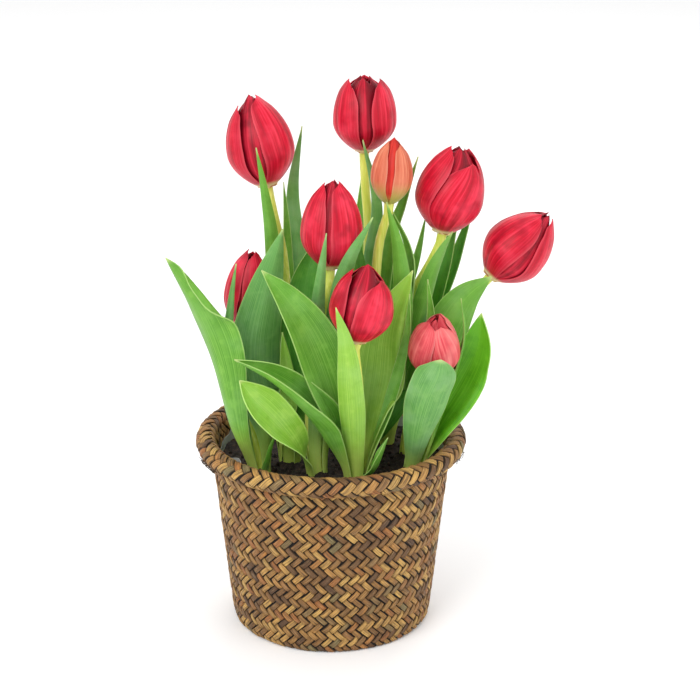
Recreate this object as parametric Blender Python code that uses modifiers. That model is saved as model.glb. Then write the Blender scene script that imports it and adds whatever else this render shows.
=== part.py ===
"""A potted tulip: nine tulips grown from bulbs, in soil, inside a lined and woven rush basket.

Metres, +Z up. The origin is the centre of the basket's flat underside. Lengths in the tables below are
in millimetres, and MM turns them into metres. -Y is the side that the tulips show to a viewer.
"""

import math

import bmesh
import bpy
import numpy as np

MM = 0.001
GAP = 0.35  # between solids that touch on the real plant
SPARE = 0.1  # added where both sides are curved

# The basket: a tapered wall of plaited rush with a rolled rim.
RIM_RADIUS = 90.0
ROLL_RADIUS = 6.4
ROLL_HEIGHT = 126.5
BASE_RADIUS = 66.7
WALL_TAPER = (80.4 - BASE_RADIUS) / ROLL_HEIGHT
WALL_THICKNESS = 3.0
FLOOR_THICKNESS = 4.0
FLAT_RADIUS = 58.0
RIBS = 32
RIB_ROWS = 9
RIB_FOOT = 7.0
RIB_TOP = 117.0
RIDGE = 0.4
GROOVE = -1.1
HEEL_INSET = 2.2  # the rounded edge of the underside
HEEL_HEIGHT = 1.2
RELIEF_START = 4.0  # the height at which the ribs begin, half as high as on the wall
ROLL_DEGREES = (-120, -65, -15, 35, 85, 135, 180)  # round the rolled rim's section, from outside to inside
ROLL_TURN = 0.4  # of a rib, that the ribs shift from each of those to the next
ROLL_RELIEF = 0.6

# What the basket holds.
LINER_THICKNESS = 0.8
LINER_TOP = 119.0
SOIL_TOP = 112.0
TURNED_SIDES = 32
BULB_BASE = 46.0
BULB_HEIGHT = 37.0
BULB_RADIUS = 13.0
BULB_SIDES = 8
COLLAR_RADIUS = 11.0
COLLAR_SIDES = 12
HOLE_SIDES = 10

# The green parts.
STEM_BASE_RADIUS = 4.3
STEM_TOP_RADIUS = 2.8
STRAIGHT_END = 7.0  # of a stem, in line with its bloom
LEAF_THICKNESS = 0.9
LEAF_FOOT = SOIL_TOP - 4.0
CLASP_RADIUS = STEM_BASE_RADIUS + GAP + LEAF_THICKNESS / 2 + SPARE
RING_STEP = LEAF_THICKNESS + GAP + SPARE
CLASP_ANGLE = 84.0
BLADE_ROWS = 7
BLADE_COLUMNS = 4
TWIST_DONE = 0.625  # the share of a blade's length by which it has turned its face

# The blooms: three outer petals over three inner ones. Spans are degrees about the bloom's axis.
BLOOM_FOOT_RADIUS = 4.4
BLOOM_WIDEST = 0.4  # as a share of its height
INNER_PETALS = 0.90
PETAL_PITCH = 120.0
SPAN_AT_FOOT = 56.0  # half of an outer petal
SPAN_AT_TIP = 30.0
EDGE_STEP = 1.5  # from an outer petal's margin in to the inner petal
EDGE_REACH = 0.86  # a margin's height as a share of the height in the petal's middle
CUP_DEPTH = 0.66

# One row a plant: where its bulb lies, where its stem leaves the soil, the points that the stem passes
# through, and its bloom: foot and top, width, the turn of its petals about its own axis in degrees, and
# how wide its mouth is, as a share of its width.
PLANTS = {
    "left_tall": {
        "bulb": (-27, -2), "exit": (-28, -7), "stem": [(-27, 4, 187), (-31, 16, 246), (-36, 21, 270)],
        "foot": (-41, 26, 293), "top": (-52, 30, 353), "width": 44, "turn": 335, "mouth": 0.24,
    },
    "back_tall": {
        "bulb": (6, 38), "exit": (9, 34), "stem": [(21, 37, 190), (25, 38, 253), (23, 39, 287)],
        "foot": (22, 40, 313), "top": (22, 40, 363), "width": 41, "turn": 330, "mouth": 0.50,
    },
    "back_bud": {
        "bulb": (18, 4), "exit": (20, 4), "stem": [(27, 4, 194), (31, 4, 256)],
        "foot": (38, 5, 288), "top": (41, 5, 331), "width": 27, "turn": 325, "mouth": 0.24,
    },
    "right_tall": {
        "bulb": (36, 28), "exit": (37, 22), "stem": [(43, 19, 182), (56, 16, 225), (64, 15, 241)],
        "foot": (73, 15, 265), "top": (84, 17, 323), "width": 45, "turn": 290, "mouth": 0.32,
    },
    "right_nodding": {
        "bulb": (50, 4), "exit": (50, 2), "stem": [(59, 9, 157), (72, 14, 194), (89, 16, 222)],
        "foot": (105, 17, 234), "top": (143, 17, 277), "width": 43, "turn": 345, "mouth": 0.22,
    },
    "centre": {
        "bulb": (-9, -30), "exit": (-8, -28), "stem": [(-13, -26, 146), (-9, -23, 200), (-3, -19, 233)],
        "foot": (0, -15, 250), "top": (2, -14, 308), "width": 40, "turn": 330, "mouth": 0.28,
    },
    "left_low": {
        "bulb": (-44, -24), "exit": (-46, -26), "stem": [(-53, -20, 147), (-57, -13, 184)],
        "foot": (-58, -6, 208), "top": (-50, -4, 259), "width": 29, "turn": 325, "mouth": 0.28,
    },
    "front": {
        "bulb": (18, -38), "exit": (17, -34), "stem": [(19, -40, 148), (18, -46, 181)],
        "foot": (17, -50, 212), "top": (24, -48, 263), "width": 40, "turn": 324, "mouth": 0.25,
    },
    "right_bud": {
        "bulb": (47, -25), "exit": (53, -27), "stem": [(60, -26, 142), (64, -24, 163)],
        "foot": (66, -22, 180), "top": (68, -31, 224), "width": 34, "turn": 326, "mouth": 0.25,
    },
}

# One row a leaf: the plant it clasps, the bearing at which it leaves that stem in degrees (0 is +X, 90 is
# +Y), its ring, 0 being next to the stem, then points of its midrib and its tip, its width, the way its
# inner face looks at the tip (bearing and rise), how far it is hollowed across in degrees, how full its tip
# is, and at what share of its length it is widest.
LEAVES = {
    "left_low_outer": {
        "plant": "left_low", "side": 225, "ring": 1,
        "rib": [(-62, -43, 151), (-72, -46, 199), (-84, -49, 233)],
        "tip": (-102, -48, 267), "width": 42, "face": (60, 40), "hollow": 80, "fullness": 1.9,
        "widest": 0.7,
    },
    "left_low_front": {
        "plant": "left_low", "side": 215, "ring": 0,
        "rib": [(-57, -36, 150), (-65, -37, 200), (-63, -36, 232)],
        "tip": (-59, -35, 259), "width": 11, "face": (90, 10), "hollow": 120, "fullness": 1.6,
        "widest": 0.45,
    },
    "left_low_broad": {
        "plant": "left_low", "side": 335, "ring": 1,
        "rib": [(-40, -26, 149), (-47, -26, 194), (-41, -23, 234)],
        "tip": (-30, -18, 277), "width": 37, "face": (100, 10), "hollow": 50, "fullness": 1.9,
        "widest": 0.45,
    },
    "front_back_left": {
        "plant": "front", "side": 150, "ring": 1,
        "rib": [(4, -36, 160), (-10, -43, 208), (-26, -42, 236)],
        "tip": (-43, -36, 255), "width": 38, "face": (290, 20), "hollow": 60, "fullness": 2.2,
        "widest": 0.45,
    },
    "front_low_left": {
        "plant": "front", "side": 205, "ring": 2,
        "rib": [(-5, -45, 146), (-21, -50, 171), (-38, -55, 189)],
        "tip": (-60, -58, 203), "width": 40, "face": (300, 50), "hollow": 120, "fullness": 2.0,
        "widest": 0.45,
    },
    "front_narrow": {
        "plant": "front", "side": 262, "ring": 1,
        "rib": [(15, -50, 145), (13, -60, 183), (10, -67, 216)],
        "tip": (4, -71, 242), "width": 18, "face": (90, 10), "hollow": 50, "fullness": 2.0,
        "widest": 0.45,
    },
    "front_right": {
        "plant": "front", "side": 30, "ring": 0,
        "rib": [(26, -24, 138), (33, -16, 174), (37, -14, 210)],
        "tip": (53, -14, 248), "width": 38, "face": (250, 10), "hollow": 60, "fullness": 1.8,
        "widest": 0.45,
    },
    "front_sprout": {
        "plant": "front", "side": 318, "ring": 2, "rib": [(31, -48, 127)],
        "tip": (37, -48, 146), "width": 14, "face": (180, 30), "hollow": 110, "fullness": 2.2,
        "widest": 0.45,
    },
    "centre_low": {
        "plant": "centre", "side": 215, "ring": 1,
        "rib": [(-20, -46, 136), (-34, -53, 159), (-48, -57, 176)],
        "tip": (-57, -58, 189), "width": 31, "face": (290, 30), "hollow": 80, "fullness": 2.0,
        "widest": 0.74,
    },
    "centre_front": {
        "plant": "centre", "side": 265, "ring": 0,
        "rib": [(-9, -35, 173), (-8, -33, 223), (-6, -36, 248)],
        "tip": (-2, -42, 281), "width": 12, "face": (90, 10), "hollow": 60, "fullness": 2.0,
        "widest": 0.45,
    },
    "centre_right": {
        "plant": "centre", "side": 350, "ring": 1,
        "rib": [(4, -25, 170), (4, -27, 211), (10, -31, 253)],
        "tip": (27, -30, 288), "width": 17, "face": (95, 0), "hollow": 50, "fullness": 2.0,
        "widest": 0.45,
    },
    "centre_back": {
        "plant": "centre", "side": 95, "ring": 1,
        "rib": [(-13, -13, 159), (-19, -4, 199), (-17, 2, 232)],
        "tip": (-8, 8, 264), "width": 30, "face": (262, 10), "hollow": 50, "fullness": 2.4,
        "widest": 0.45,
    },
    "left_tall_low": {
        "plant": "left_tall", "side": 278, "ring": 1, "rib": [(-26, -16, 140), (-28, -19, 177)],
        "tip": (-31, -20, 208), "width": 13, "face": (270, 10), "hollow": 60, "fullness": 2.2,
        "widest": 0.45,
    },
    "left_tall_front": {
        "plant": "left_tall", "side": 180, "ring": 1,
        "rib": [(-35, -2, 183), (-38, 6, 256), (-42, 4, 293)],
        "tip": (-47, 1, 325), "width": 13, "face": (80, 0), "hollow": 60, "fullness": 2.0,
        "widest": 0.45,
    },
    "left_tall_right": {
        "plant": "left_tall", "side": 60, "ring": 1,
        "rib": [(-18, 16, 184), (-22, 32, 248), (-25, 47, 285)],
        "tip": (-19, 53, 327), "width": 15, "face": (100, 0), "hollow": 60, "fullness": 2.0,
        "widest": 0.45,
    },
    "back_tall_right": {
        "plant": "back_tall", "side": 345, "ring": 1,
        "rib": [(24, 29, 194), (26, 27, 240), (30, 26, 280)],
        "tip": (21, 22, 325), "width": 13, "face": (80, 0), "hollow": 90, "fullness": 2.0,
        "widest": 0.45,
    },
    "back_tall_behind": {
        "plant": "back_tall", "side": 130, "ring": 1, "rib": [(12, 48, 187), (18, 50, 249)],
        "tip": (20, 54, 290), "width": 14, "face": (270, 0), "hollow": 60, "fullness": 2.0,
        "widest": 0.45,
    },
    "back_tall_front": {
        "plant": "back_tall", "side": 245, "ring": 0, "rib": [(12, 16, 189), (19, 11, 232)],
        "tip": (19, 11, 261), "width": 17, "face": (90, 0), "hollow": 60, "fullness": 2.4,
        "widest": 0.45,
    },
    "back_tall_low": {
        "plant": "back_tall", "side": 30, "ring": 2, "rib": [(37, 41, 180), (42, 45, 222)],
        "tip": (45, 50, 256), "width": 20, "face": (250, 0), "hollow": 60, "fullness": 2.0,
        "widest": 0.45,
    },
    "back_bud_front": {
        "plant": "back_bud", "side": 325, "ring": 1,
        "rib": [(41, -6, 171), (47, -9, 219), (44, -7, 259)],
        "tip": (36, -5, 291), "width": 15, "face": (90, 0), "hollow": 50, "fullness": 2.2,
        "widest": 0.45,
    },
    "back_bud_right": {
        "plant": "back_bud", "side": 15, "ring": 0, "rib": [(46, 6, 186), (53, 6, 236), (51, 7, 258)],
        "tip": (39, 10, 283), "width": 13, "face": (220, 0), "hollow": 60, "fullness": 2.2,
        "widest": 0.45,
    },
    "back_bud_behind": {
        "plant": "back_bud", "side": 110, "ring": 0,
        "rib": [(31, 17, 197), (40, 20, 259), (47, 22, 282)],
        "tip": (57, 26, 313), "width": 13, "face": (250, 0), "hollow": 80, "fullness": 2.0,
        "widest": 0.45,
    },
    "back_bud_low": {
        "plant": "back_bud", "side": 280, "ring": 2, "rib": [(27, -9, 134), (40, -12, 152)],
        "tip": (57, -12, 167), "width": 20, "face": (100, -30), "hollow": 40, "fullness": 2.4,
        "widest": 0.45,
    },
    "right_tall_left": {
        "plant": "right_tall", "side": 140, "ring": 0,
        "rib": [(39, 28, 182), (50, 26, 223), (57, 26, 247)],
        "tip": (63, 29, 273), "width": 11, "face": (290, 0), "hollow": 60, "fullness": 2.0,
        "widest": 0.45,
    },
    "right_tall_front": {
        "plant": "right_tall", "side": 275, "ring": 1,
        "rib": [(51, 10, 178), (64, 7, 231), (72, 5, 254)],
        "tip": (79, 3, 269), "width": 15, "face": (110, 0), "hollow": 60, "fullness": 3.0,
        "widest": 0.45,
    },
    "right_tall_right": {
        "plant": "right_tall", "side": 5, "ring": 0,
        "rib": [(62, 26, 186), (76, 32, 237), (81, 36, 259)],
        "tip": (87, 39, 280), "width": 14, "face": (240, 0), "hollow": 60, "fullness": 2.4,
        "widest": 0.45,
    },
    "right_tall_behind": {
        "plant": "right_tall", "side": 75, "ring": 1,
        "rib": [(62, 40, 183), (80, 45, 227), (88, 48, 251)],
        "tip": (96, 52, 276), "width": 13, "face": (250, 0), "hollow": 60, "fullness": 2.0,
        "widest": 0.45,
    },
    "right_nodding_broad": {
        "plant": "right_nodding", "side": 300, "ring": 1,
        "rib": [(62, -3, 152), (74, 0, 196), (87, 2, 222)],
        "tip": (105, 5, 238), "width": 33, "face": (105, -20), "hollow": 50, "fullness": 3.0,
        "widest": 0.45,
    },
    "right_bud_front": {
        "plant": "right_bud", "side": 268, "ring": 0,
        "rib": [(56, -44, 144), (62, -54, 174), (68, -58, 192)],
        "tip": (70, -58, 203), "width": 31, "face": (90, 10), "hollow": 70, "fullness": 5.0,
        "widest": 0.7,
    },
    "right_bud_back": {
        "plant": "right_bud", "side": 30, "ring": 1,
        "rib": [(69, -20, 142), (86, -15, 172), (96, -13, 195)],
        "tip": (98, -11, 218), "width": 36, "face": (245, 10), "hollow": 70, "fullness": 2.8,
        "widest": 0.45,
    },
}


def unit(vector):
    return vector / np.linalg.norm(vector)


def heading(bearing, rise=0.0):
    """The direction with this bearing and this rise above level, both in degrees."""
    b, r = math.radians(bearing), math.radians(rise)
    return np.array([math.cos(b) * math.cos(r), math.sin(b) * math.cos(r), math.sin(r)])


def smoothstep(x):
    x = min(max(x, 0.0), 1.0)
    return x * x * (3 - 2 * x)


def mix(a, b, share):
    return a + (b - a) * share


def turned_about(vector, axis, angle):
    """The vector turned about a unit axis by an angle in radians."""
    across = np.cross(axis, vector)
    along = axis * np.dot(axis, vector)
    return vector * math.cos(angle) + across * math.sin(angle) + along * (1 - math.cos(angle))


def smooth_path(points, count, start=None):
    """Points evenly spaced along the smooth curve through the given ones. start is its first tangent."""
    points = [np.array(p, float) for p in points]
    tangents = [points[1] - points[0]]
    tangents += [(after - before) / 2 for before, after in zip(points, points[2:])]
    tangents.append(points[-1] - points[-2])
    if start is not None:
        tangents[0] = unit(np.array(start, float)) * np.linalg.norm(points[1] - points[0])
    fine = [points[0]]
    for a, b, ta, tb in zip(points, points[1:], tangents, tangents[1:]):
        for step in range(1, 25):
            t = step / 24
            fine.append(
                (2 * t**3 - 3 * t**2 + 1) * a + (t**3 - 2 * t**2 + t) * ta
                + (3 * t**2 - 2 * t**3) * b + (t**3 - t**2) * tb
            )
    fine = np.array(fine)
    run = np.concatenate([[0], np.cumsum(np.linalg.norm(np.diff(fine, axis=0), axis=1))])
    wanted = np.linspace(0, run[-1], count)
    return np.stack([np.interp(wanted, run, fine[:, axis]) for axis in range(3)], axis=1)


def clear_scene():
    for obj in list(bpy.data.objects):
        bpy.data.objects.remove(obj, do_unlink=True)


def new_collection(name):
    collection = bpy.data.collections.new(name)
    bpy.context.scene.collection.children.link(collection)
    return collection


def principled(name, colour, roughness):
    """A plain Principled BSDF. The colour is sRGB hex, turned to linear."""
    material = bpy.data.materials.new(name)
    material.use_nodes = True
    channels = [int(colour[i : i + 2], 16) / 255 for i in (0, 2, 4)]
    linear = [c / 12.92 if c <= 0.04045 else ((c + 0.055) / 1.055) ** 2.4 for c in channels]
    shader = material.node_tree.nodes["Principled BSDF"]
    shader.inputs["Base Color"].default_value = (*linear, 1.0)
    shader.inputs["Roughness"].default_value = roughness
    shader.inputs["Metallic"].default_value = 0.0
    material.diffuse_color = (*linear, 1.0)
    return material


def add_mesh(name, mesh, material, collection, smooth=True):
    obj = bpy.data.objects.new(name, mesh)
    mesh.materials.append(material)
    collection.objects.link(obj)
    if smooth:
        mesh.shade_smooth()
        mesh.set_sharp_from_angle(angle=math.radians(40))
    return obj


def skin(name, rings, foot=None, crown=None):
    """A mesh through rings of equal length, in mm, closed by a fan to a foot and a crown point."""
    count = len(rings[0])
    bm = bmesh.new()
    rows = [[bm.verts.new([c * MM for c in point]) for point in ring] for ring in rings]
    for low, high in zip(rows, rows[1:]):
        for j in range(count):
            k = (j + 1) % count
            bm.faces.new((low[j], low[k], high[k], high[j]))
    for row, point, turn in ((rows[0], foot, -1), (rows[-1], crown, 1)):
        if point is not None:
            centre = bm.verts.new([c * MM for c in point])
            for j in range(count):
                fan = (row[j], row[(j + 1) % count], centre)
                bm.faces.new(fan[::turn])
    bmesh.ops.triangulate(bm, faces=bm.faces[:])
    bmesh.ops.recalc_face_normals(bm, faces=bm.faces[:])
    mesh = bpy.data.meshes.new(name)
    bm.to_mesh(mesh)
    bm.free()
    return mesh


def turned(name, profile, sides, material, collection, place=(0, 0)):
    """A solid turned about +Z from a profile of (radius, height) that runs down its outer side."""
    mesh = bpy.data.meshes.new(name)
    mesh.from_pydata(
        [(radius * MM, 0, height * MM) for radius, height in profile],
        [(i, i + 1) for i in range(len(profile) - 1)],
        [],
    )
    obj = add_mesh(name, mesh, material, collection, smooth=False)
    obj.location = (place[0] * MM, place[1] * MM, 0)
    screw = obj.modifiers.new("turn", "SCREW")
    screw.steps = screw.render_steps = sides
    screw.use_merge_vertices = True
    screw.merge_threshold = 0.00001
    return obj


def wall_radius(height):
    """The basket's outer radius under its rim at a height, both in mm."""
    return BASE_RADIUS + WALL_TAPER * height


def basket_mesh():
    """The woven shell: its weave is raised as slanted ribs, larger than life, that turn back at each row."""
    columns = 2 * RIBS
    rib = 2 * math.pi / RIBS

    def ring(radius, height, shift=0.0, relief=0.0):
        points = []
        for j in range(columns):
            angle = 2 * math.pi * j / columns + shift
            out = radius + relief * (RIDGE if j % 2 else GROOVE)
            points.append((out * math.cos(angle), out * math.sin(angle), height))
        return points

    rings = [ring(FLAT_RADIUS, 0), ring(BASE_RADIUS - HEEL_INSET, HEEL_HEIGHT)]
    rings.append(ring(wall_radius(RELIEF_START), RELIEF_START, 0, 0.5))
    for row in range(RIB_ROWS + 1):
        height = mix(RIB_FOOT, RIB_TOP, row / RIB_ROWS)
        rings.append(ring(wall_radius(height), height, rib * (row % 2), 1.0))
    for step, degrees in enumerate(ROLL_DEGREES):
        angle = math.radians(degrees)
        relief = 0.0 if degrees in (ROLL_DEGREES[0], ROLL_DEGREES[-1]) else ROLL_RELIEF
        radius = RIM_RADIUS - ROLL_RADIUS + ROLL_RADIUS * math.cos(angle)
        height = ROLL_HEIGHT + ROLL_RADIUS * math.sin(angle)
        turn = rib * (1 + ROLL_TURN * step)
        rings.append(ring(radius, height, turn, relief))
    inner = WALL_THICKNESS
    rings.append(ring(wall_radius(FLOOR_THICKNESS) - inner, FLOOR_THICKNESS, turn))
    return skin("basket", rings, foot=(0, 0, 0), crown=(0, 0, FLOOR_THICKNESS))


def liner_profile():
    """The plastic film's section, from the middle of its inner floor up, over its edge and down."""
    outside = WALL_THICKNESS + GAP
    inside = outside + LINER_THICKNESS
    floor = FLOOR_THICKNESS + GAP
    return [
        (0, floor + LINER_THICKNESS),
        (wall_radius(floor) - inside, floor + LINER_THICKNESS),
        (wall_radius(LINER_TOP) - inside, LINER_TOP),
        (wall_radius(LINER_TOP) - outside, LINER_TOP),
        (wall_radius(floor) - outside, floor),
        (0, floor),
    ]


def soil_profile():
    """The soil's section, from the middle of its surface out and down."""
    inside = WALL_THICKNESS + 2 * GAP + LINER_THICKNESS
    floor = FLOOR_THICKNESS + 2 * GAP + LINER_THICKNESS
    return [
        (0, SOIL_TOP),
        (wall_radius(SOIL_TOP) - inside, SOIL_TOP),
        (wall_radius(floor) - inside, floor),
        (0, floor),
    ]


def bulb_profile(spare=0.0):
    """An onion shape with a short neck, cut level on top, where the stem stands on it."""
    shape = [(0.40, 1.0), (0.46, 0.93), (0.85, 0.66), (1.0, 0.36), (0.80, 0.10), (0.42, 0.0)]
    middle = BULB_BASE + BULB_HEIGHT / 2
    grow = 1 + 2 * spare / BULB_HEIGHT
    outer = [
        (share * BULB_RADIUS + spare, middle + (BULB_BASE + rise * BULB_HEIGHT - middle) * grow)
        for share, rise in shape
    ]
    return [(0, outer[0][1]), *outer, (0, outer[-1][1])]


def bloom_axis(plant):
    foot, top = (np.array(plant[key], float) for key in ("foot", "top"))
    return foot, unit(top - foot), np.linalg.norm(top - foot)


def stem_points(plant):
    """The stem's line: up from the bulb, out of the soil, and straight into the bloom's foot."""
    foot, axis, _ = bloom_axis(plant)
    start = np.array([*plant["bulb"], BULB_BASE + BULB_HEIGHT + GAP], float)
    out = np.array([*plant["exit"], SOIL_TOP], float)
    lean = unit(out - start)
    start[2] += STEM_BASE_RADIUS * math.hypot(lean[0], lean[1])
    above = smooth_path([out, *plant["stem"], foot - axis * STRAIGHT_END], 6, (0, 0, 1))
    return [start, out, *above[1:], foot - axis * GAP]


def stem_object(name, plant, material, collection):
    """A tube along the stem's line, a little thinner towards the bloom."""
    points = stem_points(plant)
    curve = bpy.data.curves.new(name, "CURVE")
    curve.dimensions = "3D"
    curve.bevel_depth = STEM_BASE_RADIUS * MM
    curve.bevel_resolution = 2
    curve.use_fill_caps = True
    spline = curve.splines.new("POLY")
    spline.points.add(len(points) - 1)
    for i, (place, point) in enumerate(zip(spline.points, points)):
        place.co = (*(point * MM), 1.0)
        place.radius = mix(1.0, STEM_TOP_RADIUS / STEM_BASE_RADIUS, i / (len(points) - 1))
    obj = bpy.data.objects.new(name, curve)
    curve.materials.append(material)
    collection.objects.link(obj)
    return obj


def between(name, low, high, radius, sides, collection):
    """A closed round cutter between two points in mm."""
    low, high = np.array(low, float), np.array(high, float)
    axis = unit(high - low)
    side = unit(np.cross(axis, [0, 1, 0]))
    other = np.cross(axis, side)
    rings = []
    for centre in (low, high):
        angles = [2 * math.pi * j / sides for j in range(sides)]
        rings.append([centre + radius * (side * math.cos(a) + other * math.sin(a)) for a in angles])
    obj = bpy.data.objects.new(name, skin(name, rings, foot=low, crown=high))
    collection.objects.link(obj)
    return obj


def cut_soil(soil, cutters, collection):
    """Opens a pocket for each bulb, a plain hole for its stem and a collar where its leaves come out."""
    material = soil.data.materials[0]
    for name, plant in PLANTS.items():
        pocket = turned("pocket_" + name, bulb_profile(GAP), BULB_SIDES, material, cutters, plant["bulb"])
        start, out = stem_points(plant)[:2]
        up = unit(out - start)
        tunnel = (STEM_BASE_RADIUS + GAP + SPARE) / math.cos(math.pi / HOLE_SIDES)
        hole = between("hole_" + name, start - up * 3, out + up * 4, tunnel, HOLE_SIDES, cutters)
        foot = np.array([out[0], out[1], LEAF_FOOT - GAP - SPARE])
        lid = out + np.array([0, 0, 3.0])
        collar = between("collar_" + name, foot, lid, COLLAR_RADIUS, COLLAR_SIDES, cutters)
        for cutter in (pocket, hole, collar):
            cutter.hide_render = True
            cutter.display_type = "WIRE"
            cut = soil.modifiers.new(cutter.name, "BOOLEAN")
            cut.operation = "DIFFERENCE"
            cut.solver = "EXACT"
            cut.object = cutter


def leaf_frames(leaf):
    """The midrib's points, and at each one the directions across the blade and towards its inner face."""
    plant = PLANTS[leaf["plant"]]
    line = stem_points(plant)
    grow = unit(line[2] - line[1])
    lean = unit(line[1] - line[0])
    centre = line[1] + lean * (LEAF_FOOT - SOIL_TOP) / lean[2]
    ring = CLASP_RADIUS + RING_STEP * leaf["ring"]
    foot = centre + heading(leaf["side"]) * ring
    rib = smooth_path([foot, *leaf["rib"], leaf["tip"]], BLADE_ROWS + 1, grow)
    inner = -heading(leaf["side"])
    frames = []
    for row in range(BLADE_ROWS + 1):
        ahead = rib[min(row + 1, BLADE_ROWS)] - rib[max(row - 1, 0)]
        along = unit(grow if row == 0 else ahead)
        inner = unit(inner - along * np.dot(inner, along))
        frames.append((along, inner))
    frames[0] = (np.array([0, 0, 1]), -heading(leaf["side"]))
    along, inner = frames[-1]
    wanted = heading(*leaf["face"])
    wanted = unit(wanted - along * np.dot(wanted, along))
    twist = math.atan2(np.dot(np.cross(inner, wanted), along), np.dot(inner, wanted))
    turned_frames = []
    for row, (along, inner) in enumerate(frames):
        inner = turned_about(inner, along, twist * smoothstep(row / BLADE_ROWS / TWIST_DONE))
        turned_frames.append((np.cross(along, inner), inner))
    return rib, turned_frames, ring


def blade_width(leaf, share, foot_width):
    """Narrow at the foot, widest at a share of its length, and drawn in to the tip."""
    widest = leaf["widest"]
    if share < widest:
        return mix(foot_width, leaf["width"], smoothstep(share / widest))
    left = (share - widest) / (1 - widest)
    return leaf["width"] * (1 - left ** leaf["fullness"])


def leaf_object(name, leaf, material, collection):
    """A hollowed blade from a grid, curled round its stem at the foot and pointed at its tip."""
    rib, frames, ring = leaf_frames(leaf)
    clasp, hollow = math.radians(CLASP_ANGLE), math.radians(leaf["hollow"])
    foot_width = min(ring * clasp, leaf["width"])
    bm = bmesh.new()
    rows = []
    for row in range(BLADE_ROWS):
        share = row / BLADE_ROWS
        side, inner = frames[row]
        width = blade_width(leaf, share, foot_width)
        bend = mix(foot_width / ring, hollow, smoothstep(share / leaf["widest"]))
        radius = width / bend
        line = []
        for column in range(BLADE_COLUMNS + 1):
            angle = bend * (column / BLADE_COLUMNS - 0.5)
            across = side * radius * math.sin(angle) + inner * radius * (1 - math.cos(angle))
            line.append(bm.verts.new((rib[row] + across) * MM))
        rows.append(line)
    for low, high in zip(rows, rows[1:]):
        for j in range(BLADE_COLUMNS):
            bm.faces.new((low[j], low[j + 1], high[j + 1], high[j]))
    tip = bm.verts.new(rib[-1] * MM)
    for j in range(BLADE_COLUMNS):
        bm.faces.new((rows[-1][j], rows[-1][j + 1], tip))
    bmesh.ops.triangulate(bm, faces=bm.faces[:])
    mesh = bpy.data.meshes.new(name)
    bm.to_mesh(mesh)
    bm.free()
    obj = add_mesh(name, mesh, material, collection)
    shell = obj.modifiers.new("blade", "SOLIDIFY")
    shell.thickness = LEAF_THICKNESS * MM
    shell.offset = 0.0
    return obj


def bloom_radius(share, width, mouth):
    """The half width of a closed tulip at a share of its height: round at its foot, drawn in on top."""
    if share < BLOOM_WIDEST:
        rise = math.sin(math.pi / 2 * share / BLOOM_WIDEST) ** 0.8
        return mix(BLOOM_FOOT_RADIUS, width / 2, rise)
    fall = ((share - BLOOM_WIDEST) / (1 - BLOOM_WIDEST)) ** 2.2
    return mix(width / 2, width / 2 * mouth, fall)


def bloom_mesh(name, plant):
    """Six petals in two layers round one axis: three outer ones with the inner ones showing between."""
    foot, axis, height = bloom_axis(plant)
    side = unit(np.cross(axis, [0, -1, 0.01]))
    front = np.cross(axis, side)
    width, mouth = plant["width"], plant["mouth"]
    rings = []
    for share in (0.0, 0.08, 0.2, 0.36, 0.54, 0.72, 0.87, 1.0, 0.93, 0.80):
        inside = len(rings) > 7
        ring = []
        half = mix(SPAN_AT_FOOT, SPAN_AT_TIP, smoothstep((share - 0.3) / 0.7))
        for petal in range(3):
            lobes = [(-half, EDGE_REACH, 0.98), (-half / 2, 0.96, 1.0), (0, 1.0, 1.0)]
            lobes += [(half / 2, 0.96, 1.0), (half, EDGE_REACH, 0.98)]
            lobes += [(half + EDGE_STEP, EDGE_REACH, INNER_PETALS), (PETAL_PITCH / 2, 0.95, INNER_PETALS)]
            lobes += [(PETAL_PITCH - EDGE_STEP - half, EDGE_REACH, INNER_PETALS)]
            for degrees, reach, out in lobes:
                angle = math.radians(plant["turn"] + PETAL_PITCH * petal + degrees)
                radius = bloom_radius(share, width, mouth) * mix(1.0, out, smoothstep(share * 5))
                if inside:
                    radius = width / 2 * mouth * (0.55 if share > 0.9 else 0.3)
                lift = height * share * mix(1.0, reach, share)
                ring.append(
                    foot + axis * lift + radius * (side * math.cos(angle) + front * math.sin(angle))
                )
        rings.append(ring)
    return skin(name, rings, foot=foot, crown=foot + axis * height * CUP_DEPTH)


def build():
    clear_scene()
    parts = new_collection("potted_tulip")
    cutters = new_collection("cutters")
    rush = principled("plaited_rush", "7A5A33", 0.75)
    film = principled("liner_film", "8C8F8A", 0.35)
    earth = principled("soil", "1C1612", 0.95)
    tunic = principled("bulb_tunic", "7B4A22", 0.6)
    stalk = principled("stem", "A3B83A", 0.5)
    blade = principled("leaf", "5E9E3A", 0.5)
    red = principled("petal_red", "C8102E", 0.45)
    coral = principled("petal_coral", "E8796B", 0.45)

    add_mesh("basket", basket_mesh(), rush, parts)
    turned("liner", liner_profile(), TURNED_SIDES, film, parts)
    soil = turned("soil", soil_profile(), TURNED_SIDES, earth, parts)
    cut_soil(soil, cutters, parts)
    for name, plant in PLANTS.items():
        turned("bulb_" + name, bulb_profile(), BULB_SIDES, tunic, parts, plant["bulb"])
        stem_object("stem_" + name, plant, stalk, parts)
        petals = coral if name.endswith("bud") else red
        add_mesh("bloom_" + name, bloom_mesh("bloom_" + name, plant), petals, parts)
    for name, leaf in LEAVES.items():
        leaf_object("leaf_" + name, leaf, blade, parts)


build()
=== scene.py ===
# %% [markdown]
# A potted tulip, from the frame outwards.
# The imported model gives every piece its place: a woven basket, its plastic liner, soil, bulbs, stems,
# blooms and leaves. This script keeps those places and makes the surfaces that a person sees: petals that
# overlap, blades that twist and curl, and a basket plaited strand by strand.

# %% Load the frame
import math

import bpy
import numpy as np
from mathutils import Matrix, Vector, noise


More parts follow.
